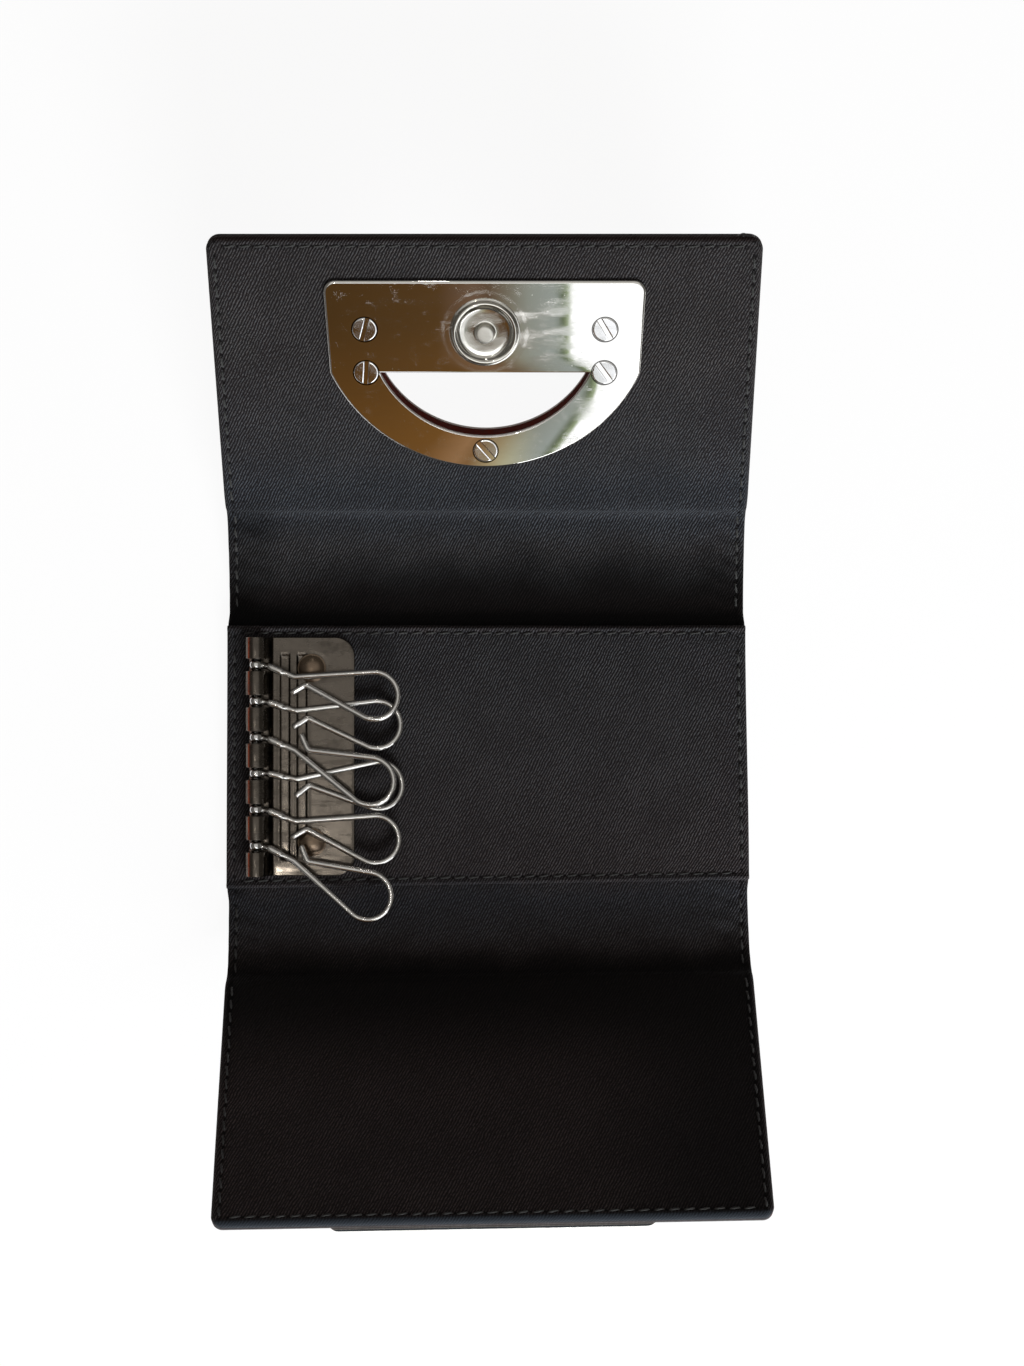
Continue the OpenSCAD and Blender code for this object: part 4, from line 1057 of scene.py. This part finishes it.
print("stage: catch plate")
catchPlate = {
    "width": 64.0, "length": 45.5, "arc": 34.5, "thick": 0.7, "edgeY": 53.6,
    "hole": (-0.95, -38.05, 2.65),  # middle and radius of the hole for the snap
}
catchOutline = moonOutline(catchPlate["width"], halfMoon["foot"], catchPlate["length"], catchPlate["arc"],
                           halfMoon["corner"])
catchRim = [(0.05, 0.0), (0.0, 0.1), (0.0, 0.35), (0.12, 0.55), (0.35, 0.66), (0.6, catchPlate["thick"])]
socketHole = np.array(arcPoints(*catchPlate["hole"], np.linspace(0, 2 * math.pi, 49)[:-1]))
holeRim = [(0.0, 0.0), (0.0, 0.6), (0.1, catchPlate["thick"])]
catchPiece = plateSolid("catchPlate", [platePoints(catchOutline, catchRim, [socketHole], holeRim)], onFront)
catchPiece.data.flip_normals()
finish(catchPiece, mirror, "plate", "front_panel", "catch_plate")

print("stage: hooks")
rail = {
    "x": -47.7, "y0": -25.1, "length": 49.6, "width": 20.3, "corner": 4.0, "thick": 0.7,
    "tube": 4.4, "base": 3.1, "slot": 2.52, "wrap": (-36, 228), "foot": (224, 274),
    "rivetDrop": 11.4, "rivetInset": 6.7, "rivetShift": 0.3, "rivetHead": 5.9, "rivetHigh": 1.1,
}
hook = {
    "pitch": 7.5, "wire": 1.28, "shank": 1.62, "ball": 2.8, "reach": 7.9, "step": 3.0,
    "loopReach": 24.2, "loopRadius": 4.9, "pinch": 2.2, "returnAngle": 33.6, "tip": 3.6,
    "tipAngle": 26.6, "gap": 0.49, "bend": 1.2, "stub": 2.6, "collar": 5.6, "z": 5.3,
    # one value for each hook
    "arms": [3.6, 7, -38.9, 12.4, 4, -41.8], "sides": [1, 1, -1, 1, 1, -1],
    "rises": [3.2, -2.2, 3.9, -2.2, -0.5, 3.9], "stubs": [-6, -6, -8, 0, -6, -9],
}
hookYs = [((len(hook["arms"]) - 1) / 2 - i) * hook["pitch"] for i in range(len(hook["arms"]))]


def unit(v):
    return v / np.linalg.norm(v)


# Points round the corner a, b, c with radius r
def roundCorner(a, b, c, r):
    steps, u, v = 8, unit(a - b), unit(c - b)
    half = math.acos(np.clip(u @ v, -1, 1)) / 2
    middle = b + unit(u + v) * (r / math.sin(half))
    p, q = b + u * (r / math.tan(half)) - middle, b + v * (r / math.tan(half)) - middle
    return [middle + unit(p * (steps - k) + q * k) * r for k in range(steps + 1)]


# Course of one hook's wire in its plane, from the ball to the tip, as points with radii
def hookRoute(i):
    side, arm, stubTurn = -hook["sides"][i], hook["arms"][i], hook["stubs"][i]
    loopY = hook["step"] + hook["loopRadius"]
    turns = np.radians(np.linspace(-90, 90 + hook["returnAngle"], 45))
    loop = list(map(np.array, arcPoints(hook["loopReach"], loopY, hook["loopRadius"], turns)))
    pinch = np.array([hook["reach"] + hook["pinch"], hook["step"] + hook["wire"] + hook["gap"]])
    tip = pinch + hook["tip"] * np.array(spin(-1, 0, -hook["tipAngle"]))
    form = [(hook["reach"], hook["step"]), *loop, *roundCorner(loop[-1], pinch, tip, hook["bend"]), tip]
    form = [np.array(spin(x, side * y, arm)) for x, y in form]
    start = np.array(spin(hook["ball"] / 2 - 0.05, 0, stubTurn))
    stub = np.array(spin(hook["stub"], 0, stubTurn))
    way = unit(form[0] - stub)
    collar = stub + way * (hook["collar"] - hook["stub"])
    thin, fat = hook["wire"] / 2, hook["shank"] / 2
    route = [(start, thin), (stub - way * 0.18, thin), (stub - way * 0.1, fat * 0.93), (stub, fat),
             (collar, fat), (collar + way * 0.12, fat * 0.93), (collar + way * 0.22, thin)]
    route += [(p, thin) for p in roundCorner(collar, form[0], form[1], hook["bend"]) + form[1:-1]]
    way = unit(form[-1] - form[-2])
    tipRings = ((0.2, thin), (0.08, thin * 0.9), (0.01, thin * 0.66), (0.0, 0.03))
    route += [(form[-1] - way * d, r) for d, r in tipRings]
    dense = []
    for (p, r), (q, w) in zip(route, route[1:]):
        steps = max(1, int(np.linalg.norm(q - p) / 0.9))
        dense += [(p + (q - p) * k / steps, r + (w - r) * k / steps) for k in range(steps)]
    return dense + [route[-1]]


# Lifts a hook's points out of its plane and moves them to its place on the rail
def raised(points, i):
    x, z = spin(points[:, 0], points[:, 2], hook["rises"][i])
    return np.stack([x + rail["x"], points[:, 1] + hookYs[i], z + hook["z"]], -1)


# Tube along the route, closed at its tip
def wireMesh(route):
    sides = 18
    points, radius = (np.array(values) for values in zip(*route))
    way = np.gradient(points, axis=0)
    way /= np.linalg.norm(way, axis=1)[:, None]
    angles = [2 * math.pi * k / sides for k in range(sides)]
    verts = [(p[0] - t[1] * r * math.cos(a), p[1] + t[0] * r * math.cos(a), r * math.sin(a))
             for p, r, t in zip(points, radius, way) for a in angles]
    end = tuple((len(points) - 1) * sides + k for k in range(sides))
    return np.array(verts), tubeFaces(len(points), sides) + [end]


ballR = hook["ball"] / 2
ballProfile = [(0.0, -ballR + 0.05), (0.45, -ballR + 0.06), (0.72, -ballR + 0.2)]
ballProfile += [(ballR * math.sin(a), -ballR * math.cos(a)) for a in np.radians(np.linspace(38, 148, 16))]
ballProfile += [(0.62, 1.24), (hook["wire"] / 2 + 0.01, 1.36), (hook["wire"] / 2, 1.5)]
for i in range(len(hook["arms"])):
    verts, faces = wireMesh(hookRoute(i))
    body = "hook_" + str(i + 1)
    wirePiece = meshObject("hookWire" + str(i + 1), raised(verts, i), faces)
    finish(wirePiece, wireNickel, "hook", body, body + "_wire")
    verts, faces = turned(ballProfile, 32)
    x, y = spin(verts[:, 2], verts[:, 0], hook["stubs"][i])
    ballPiece = meshObject("hookBall" + str(i + 1), raised(np.stack([x, y, verts[:, 1]], -1), i), faces)
    finish(ballPiece, nickel, "hook", "hook_6_swivel" if i == 5 else body, body + "_ball")

print("stage: frayed corner")
lump = {"x": 50.6, "s": 109.0, "h": 1.4, "size": (1.7, 0.85, 0.9), "rough": 0.3, "rings": 17, "spokes": 26}
verts = []
for a in np.linspace(0, math.pi, lump["rings"]):
    for b in [2 * math.pi * k / lump["spokes"] for k in range(lump["spokes"])]:
        d = np.array([math.sin(a) * math.cos(b), math.sin(a) * math.sin(b), math.cos(a)])
        swell = 1 + lump["rough"] * float(softNoise(d[0] * 3 + d[2], d[1] * 3 - d[2], 1.1, 71))
        verts.append(d * swell * lump["size"])
points = np.array(verts)
lumpPiece = meshObject("frayedCorner", placed(points + (lump["x"], lump["s"], lump["h"])),
                       tubeFaces(lump["rings"], lump["spokes"]), flat=points[:, :2])
finish(lumpPiece, leather, "leather", "flap")

print("stage: middle cloth panel")
panel = {
    "roll": 0.7, "grid": 0.5, "under": 1.52, "waves": (0.1, 0.03), "wobble": 0.06,
    "groove": 0.18, "grooveLeast": 0.5, "hemSwell": 0.1,
}


def panelTop(x, s):
    side, end = case["width"] / 2 - np.abs(x), case["middle"] / 2 - np.abs(s)
    h = case["panelThick"] + panel["waves"][0] * softNoise(x, s, 17, 31) * ease(side / 6)
    h = h + panel["waves"][1] * softNoise(x, s, 4, 32)
    groove, holes = stitchRow(x, s, side, end)
    return h - panel["groove"] * groove * (panel["grooveLeast"] + holes)


# The panel row by row, from one rolled hem over the face to the other
def middlePanel():
    end, r, roll = case["middle"] / 2, cloth["hemRadius"], panel["roll"]
    section = [(end - 0.02, -1.22), (end, -1.0), (end - 0.12, -0.8)]
    section += arcPoints(end - r, 0.0, r, np.radians(np.linspace(-80, 100, 19)))
    inner = section[-1][0]
    n = int(round(2 * inner / panel["grid"]))
    face = [(inner - 2 * inner * k / n, None) for k in range(1, n)]
    lines = section + face + [(-y, z) for y, z in section[::-1]]
    inside = case["width"] / 2 - roll
    gridX = inside * columns(panel["grid"])
    edges = [(roll * math.sin(a), roll * (1 - math.cos(a))) for a in rollAngles]
    edges += [(roll, 1.2), (roll - 0.1, 1.6), (roll - 0.5, 1.62)]
    verts, flat, length, before = [], [], 0.0, None
    for y, z in lines:
        s, fromHem = np.full_like(gridX, y), end - abs(y) - 2 * r
        if z is not None:
            sign = np.sign(y)
            s = s + sign * panel["wobble"] * softNoise(gridX, sign * 9, 5, 41)
            h = np.full_like(gridX, case["panelThick"] + cloth["hemLift"] - r + z)
        else:
            h = panelTop(gridX, s) + (panel["hemSwell"] * hump(fromHem, 0.5) if fromHem > 0 else 0)
        here = np.array([s[0], h[0]])
        length += 0.0 if before is None else float(np.linalg.norm(here - before))
        before = here
        line = [(-(inside + g), s[0], max(h[0] - d, panel["under"])) for g, d in edges[::-1]]
        line += [*zip(gridX, s, h)] + [(inside + g, s[-1], max(h[-1] - d, panel["under"])) for g, d in edges]
        verts += line
        flat += [(p[0], -length) for p in line]
    faces = [q[::-1] for q in gridFaces(len(lines), len(gridX) + 2 * len(edges))]
    return meshObject("middlePanel", placed(verts), faces, np.array(flat) + (0.0, length / 2))


panelPiece = middlePanel()
finish(panelPiece, panelCloth, "lining", "base", "middle_panel")

print("stage: boards")
board = {"inset": 1.65, "low": 1.04, "high": 2.5, "cornerFrom": 1.5, "cornerCut": 0.6}


def frontBoard():
    inset, length = board["inset"], case["front"] - board["inset"]
    shares, lines = np.linspace(-1, 1, 41), np.linspace(inset, length, 30)
    n, m = len(shares), len(lines)
    verts, faces = [], []
    for h in (board["low"], board["high"]):
        for y in lines:
            half = case["width"] / 2 - inset - max(0.0, y - length + board["cornerFrom"]) * board["cornerCut"]
            verts += [(c * half, lowerCrease - y, h) for c in shares]
    for q in gridFaces(m, n):
        faces += [q, tuple(k + n * m for k in q)[::-1]]
    border = gridBorder(m, n)
    faces += [(b, a, a + n * m, b + n * m) for a, b in zip(border, border[1:] + border[:1])]
    return meshObject("frontBoard", placed(verts), faces, smoothAngle=40)


finish(frontBoard(), greyboard, "board", "front_panel", "front_board")
for name in ("flap_board", "middle_board"):
    paint(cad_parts[name], greyboard)

print("stage: stitches")


# Two-ply stitches, each from one needle hole to the next, sunk into the cloth at both ends
def threadPiece(name, lines, topOf, body, node, seed):
    rng = np.random.default_rng(seed)
    verts, faces = [], []
    rings, sides = 11, 8
    vary, stray = stitch["slantVary"], stitch["stray"]
    for x0, s0, dx, ds, length in lines:
        here = x0 * dx + s0 * ds
        first, last = (here - length / 2) / stitch["pitch"], (here + length / 2) / stitch["pitch"]
        for k in range(math.ceil(first + 0.35), math.floor(last - 0.35) + 1):
            middle = k * stitch["pitch"] - here
            ux, us = spin(dx, ds, stitch["slant"] + rng.uniform(-vary, vary))
            cx, cs = x0 + dx * middle + rng.uniform(-stray, stray), s0 + ds * middle + rng.uniform(-stray, stray)
            reach = stitch["length"] * rng.uniform(*stitch["reachVary"])
            at, phase = len(verts), rng.uniform(0, 6)
            base = float(topOf(np.array([cx]), np.array([cs]))[0])
            for t in [j / (rings - 1) for j in range(rings)]:
                along, fromMiddle = (t - 0.5) * reach, abs(2 * t - 1)
                arch, dip = stitch["arch"] * math.sin(math.pi * t) ** 0.55, stitch["dip"] * fromMiddle ** 3
                h = base + arch - dip + 0.02
                r = stitch["radius"] * (1 - fromMiddle ** 7 * 0.6)
                for a in [2 * math.pi * q / sides for q in range(sides)]:
                    ply = r * (1 + stitch["ply"] * math.cos(2 * (a - phase - stitch["plyTurn"] * t)))
                    side, up = ply * math.cos(a), ply * math.sin(a) * stitch["flatness"]
                    verts.append((cx + ux * along - us * side, cs + us * along + ux * side, h + up))
            faces += tubeFaces(rings, sides, at)
            faces.append(tuple(range(at, at + sides)))
            faces.append(tuple(range(at + (rings - 1) * sides, at + rings * sides))[::-1])
    return finish(meshObject(name, placed(verts), faces), thread, "thread", body, node)


inset, gap = cloth["stitchInset"], 0.8
endRow = case["width"] - 2 * inset


def sideLines(s0, s1):
    middle, length = (s0 + s1) / 2, abs(s1 - s0)
    edge = float(halfWidth(np.array([middle]))[0]) - inset
    return [(sign * edge, middle, 0, 1, length) for sign in (-1, 1)]


threadPiece("flapThread", sideLines(upperCrease + gap, topEnd - inset) + [(0, topEnd - inset, 1, 0, endRow)],
            clothHeight, "flap", "flap_stitching", 1)
threadPiece("upperSpineThread", sideLines(case["hinge"] + gap, upperCrease - gap), clothHeight,
            "upper_spine", "upper_spine_stitching", 2)
threadPiece("lowerSpineThread", sideLines(-case["hinge"] - gap, lowerCrease + gap), clothHeight,
            "lower_spine", "lower_spine_stitching", 3)
threadPiece("frontThread", sideLines(lowerCrease - gap, lowEnd + inset) + [(0, lowEnd + inset, 1, 0, endRow)],
            clothHeight, "front_panel", "front_stitching", 4)
panelLines = [(sign * endRow / 2, 0, 0, 1, 2 * (panelRow - stitch["pitch"])) for sign in (-1, 1)]
panelLines += [(0, sign * panelRow, 1, 0, endRow) for sign in (-1, 1)]
threadPiece("panelThread", panelLines, panelTop, "base", "panel_stitching", 5)

print("stage: hook rail")
channel = {"places": [(4.9, 6.75), (8.4, 10.3)], "top": 20.8, "low": -21.7, "depth": 0.34, "edge": 0.2,
           "lip": 0.07, "dent": 0.05, "bend": 3.5, "bendDrop": 0.62, "wave": 0.025}
rivetYs = [rail["y0"] + rail["rivetInset"] + rail["rivetShift"],
           rail["y0"] + rail["length"] - rail["rivetInset"] + rail["rivetShift"]]


# Height of the pressed plate: grooves with raised lips, dents round the rivets, the bend at the tube
def railTop(x, y):
    z = 0 * x
    for a, b in channel["places"]:
        inside = np.minimum(np.minimum(x - a, b - x), np.minimum(channel["top"] - y, y - channel["low"]))
        z = z - channel["depth"] * ease(inside / channel["edge"] / 2 + 0.5)
        z = z + channel["lip"] * hump(inside + 0.3, 0.2)
    for rivetY in rivetYs:
        away = np.hypot(x - rail["rivetDrop"], y - rivetY) - rail["rivetHead"] / 2
        z = z - channel["dent"] * hump(away - 0.15, 0.3)
    z = z - channel["bendDrop"] * ease((channel["bend"] - x) / 1.2)
    return z + channel["wave"] * softNoise(x, y, 8, 51)


def railPlate():
    y0, y1, r, roll = rail["y0"], rail["y0"] + rail["length"], rail["corner"], 0.14
    angles, straight, outerSteps = np.radians(np.linspace(88, 4, 14)), 90, 9
    bend, reach = (r - roll) * np.sin(angles), rail["width"] - r + (r - roll) * np.cos(angles)
    lines = [*(y0 + r - bend), *np.linspace(y0 + r, y1 - r, straight), *(y1 - r + bend[::-1])]
    ends = [*reach, *[rail["width"] - roll] * straight, *reach[::-1]]
    places = [0.0, 1.8, 2.2, 2.5, 2.75, 3.0, 3.2, 3.4, 3.6, 4.4, *np.linspace(11.3, 15.6, 12)]
    for a, b in channel["places"]:
        places += [a - 0.5, (a + b) / 2, b + 0.5]
        places += [edge + d for edge in (a, b) for d in (-0.3, -0.16, -0.08, 0.0, 0.08, 0.16, 0.3)]
    cols = np.array(sorted(set(round(v, 3) for v in places)))
    top = rail["base"] + rail["thick"]
    m, n = len(lines), len(cols) + outerSteps
    verts = []
    for y, end in zip(lines, ends):
        outer = cols[-1] + (end - cols[-1]) * np.linspace(1 / outerSteps, 1, outerSteps)
        x = np.concatenate([cols, outer])
        verts += [(a + rail["x"], y, b) for a, b in zip(x, top + railTop(x, y))]
    faces = gridFaces(m, n)
    loop = gridBorder(m, n)[:2 * n + m - 2]  # all but the side at the tube
    points = np.array([verts[i] for i in loop])
    normal, previous = lineNormals(points[:, :2]), loop
    for grow, fall in ((0.05, 0.02), (0.1, 0.06), (0.14, 0.14), (0.14, 0.6), (0.0, 0.69)):
        ring = list(range(len(verts), len(verts) + len(loop)))
        verts += [(p[0] + way[0] * grow, p[1] + way[1] * grow, top - fall) for p, way in zip(points, normal)]
        faces += [(previous[k], ring[k], ring[k + 1], previous[k + 1]) for k in range(len(loop) - 1)]
        previous = ring
    return meshObject("railPlate", verts, faces, smoothAngle=60)


# Part of the rolled tube from y0 to y1, round from one angle to another
def knuckle(y0, y1, start, end, steps):
    outer, inner, soft = rail["tube"] / 2, rail["tube"] / 2 - rail["thick"], 0.13
    corners = ((outer - soft, y0 + soft, -90), (outer - soft, y1 - soft, 0),
               (inner + soft, y1 - soft, 90), (inner + soft, y0 + soft, 180))
    section = [p for x, y, turn in corners for p in arcPoints(x, y, soft, np.radians(turn + 30 * np.arange(4)))]
    n, verts = len(section), []
    for a in [math.radians(start + (end - start) * k / steps) for k in range(steps + 1)]:
        verts += [(rail["x"] + r * math.cos(a), y, hook["z"] + r * math.sin(a)) for r, y in section]
    return verts, tubeFaces(steps + 1, n) + [tuple(range(n)), tuple(range(steps * n, steps * n + n))[::-1]]


def railTube():
    y0, y1, half = rail["y0"], rail["y0"] + rail["length"], rail["slot"] / 2
    cuts = [y0] + [cut for y in sorted(hookYs) for cut in (y - half, y + half)] + [y1]
    knuckles = [knuckle(a, b, *rail["wrap"], 40) for a, b in zip(cuts[::2], cuts[1::2])]
    return meshObject("railTube", *joined(knuckles + [knuckle(y0, y1, *rail["foot"], 10)]), smoothAngle=50)


finish(railPlate(), pewter, "rail", "base")
tube = railTube()
finish(tube, pewter, "rail", "base", "hook_rail")
lit = bpy.data.collections.new("warmEdge")  # only the tube mirrors the warm card
lit.objects.link(tube)
cardThings["warmCard"].light_linking.receiver_collection = lit

rivetR, rivetH = rail["rivetHead"] / 2, rail["rivetHigh"]
dome = (rivetR ** 2 + rivetH ** 2) / 2 / rivetH
profile = [(rivetR - 0.1, -0.02), (rivetR, 0.02), (rivetR + 0.02, 0.1), (rivetR - 0.05, 0.17)]
foot = math.pi / 2 - math.asin(rivetR / dome) * 0.93
profile += arcPoints(0.0, rivetH - dome, dome, np.linspace(foot, math.pi / 2, 14))
verts, faces = turned(profile, 48)
rivetX, rivetZ = rail["x"] + rail["rivetDrop"], rail["base"] + rail["thick"]
rivets = joined((verts + (rivetX, y, rivetZ), faces) for y in rivetYs)
finish(meshObject("railRivets", *rivets), bronze, "rail", "base", "rail_rivets")
paint(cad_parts["rivet_washers"], pewter)
for name in ("snap_socket", "snap_spring"):
    paint(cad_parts[name], nickel)
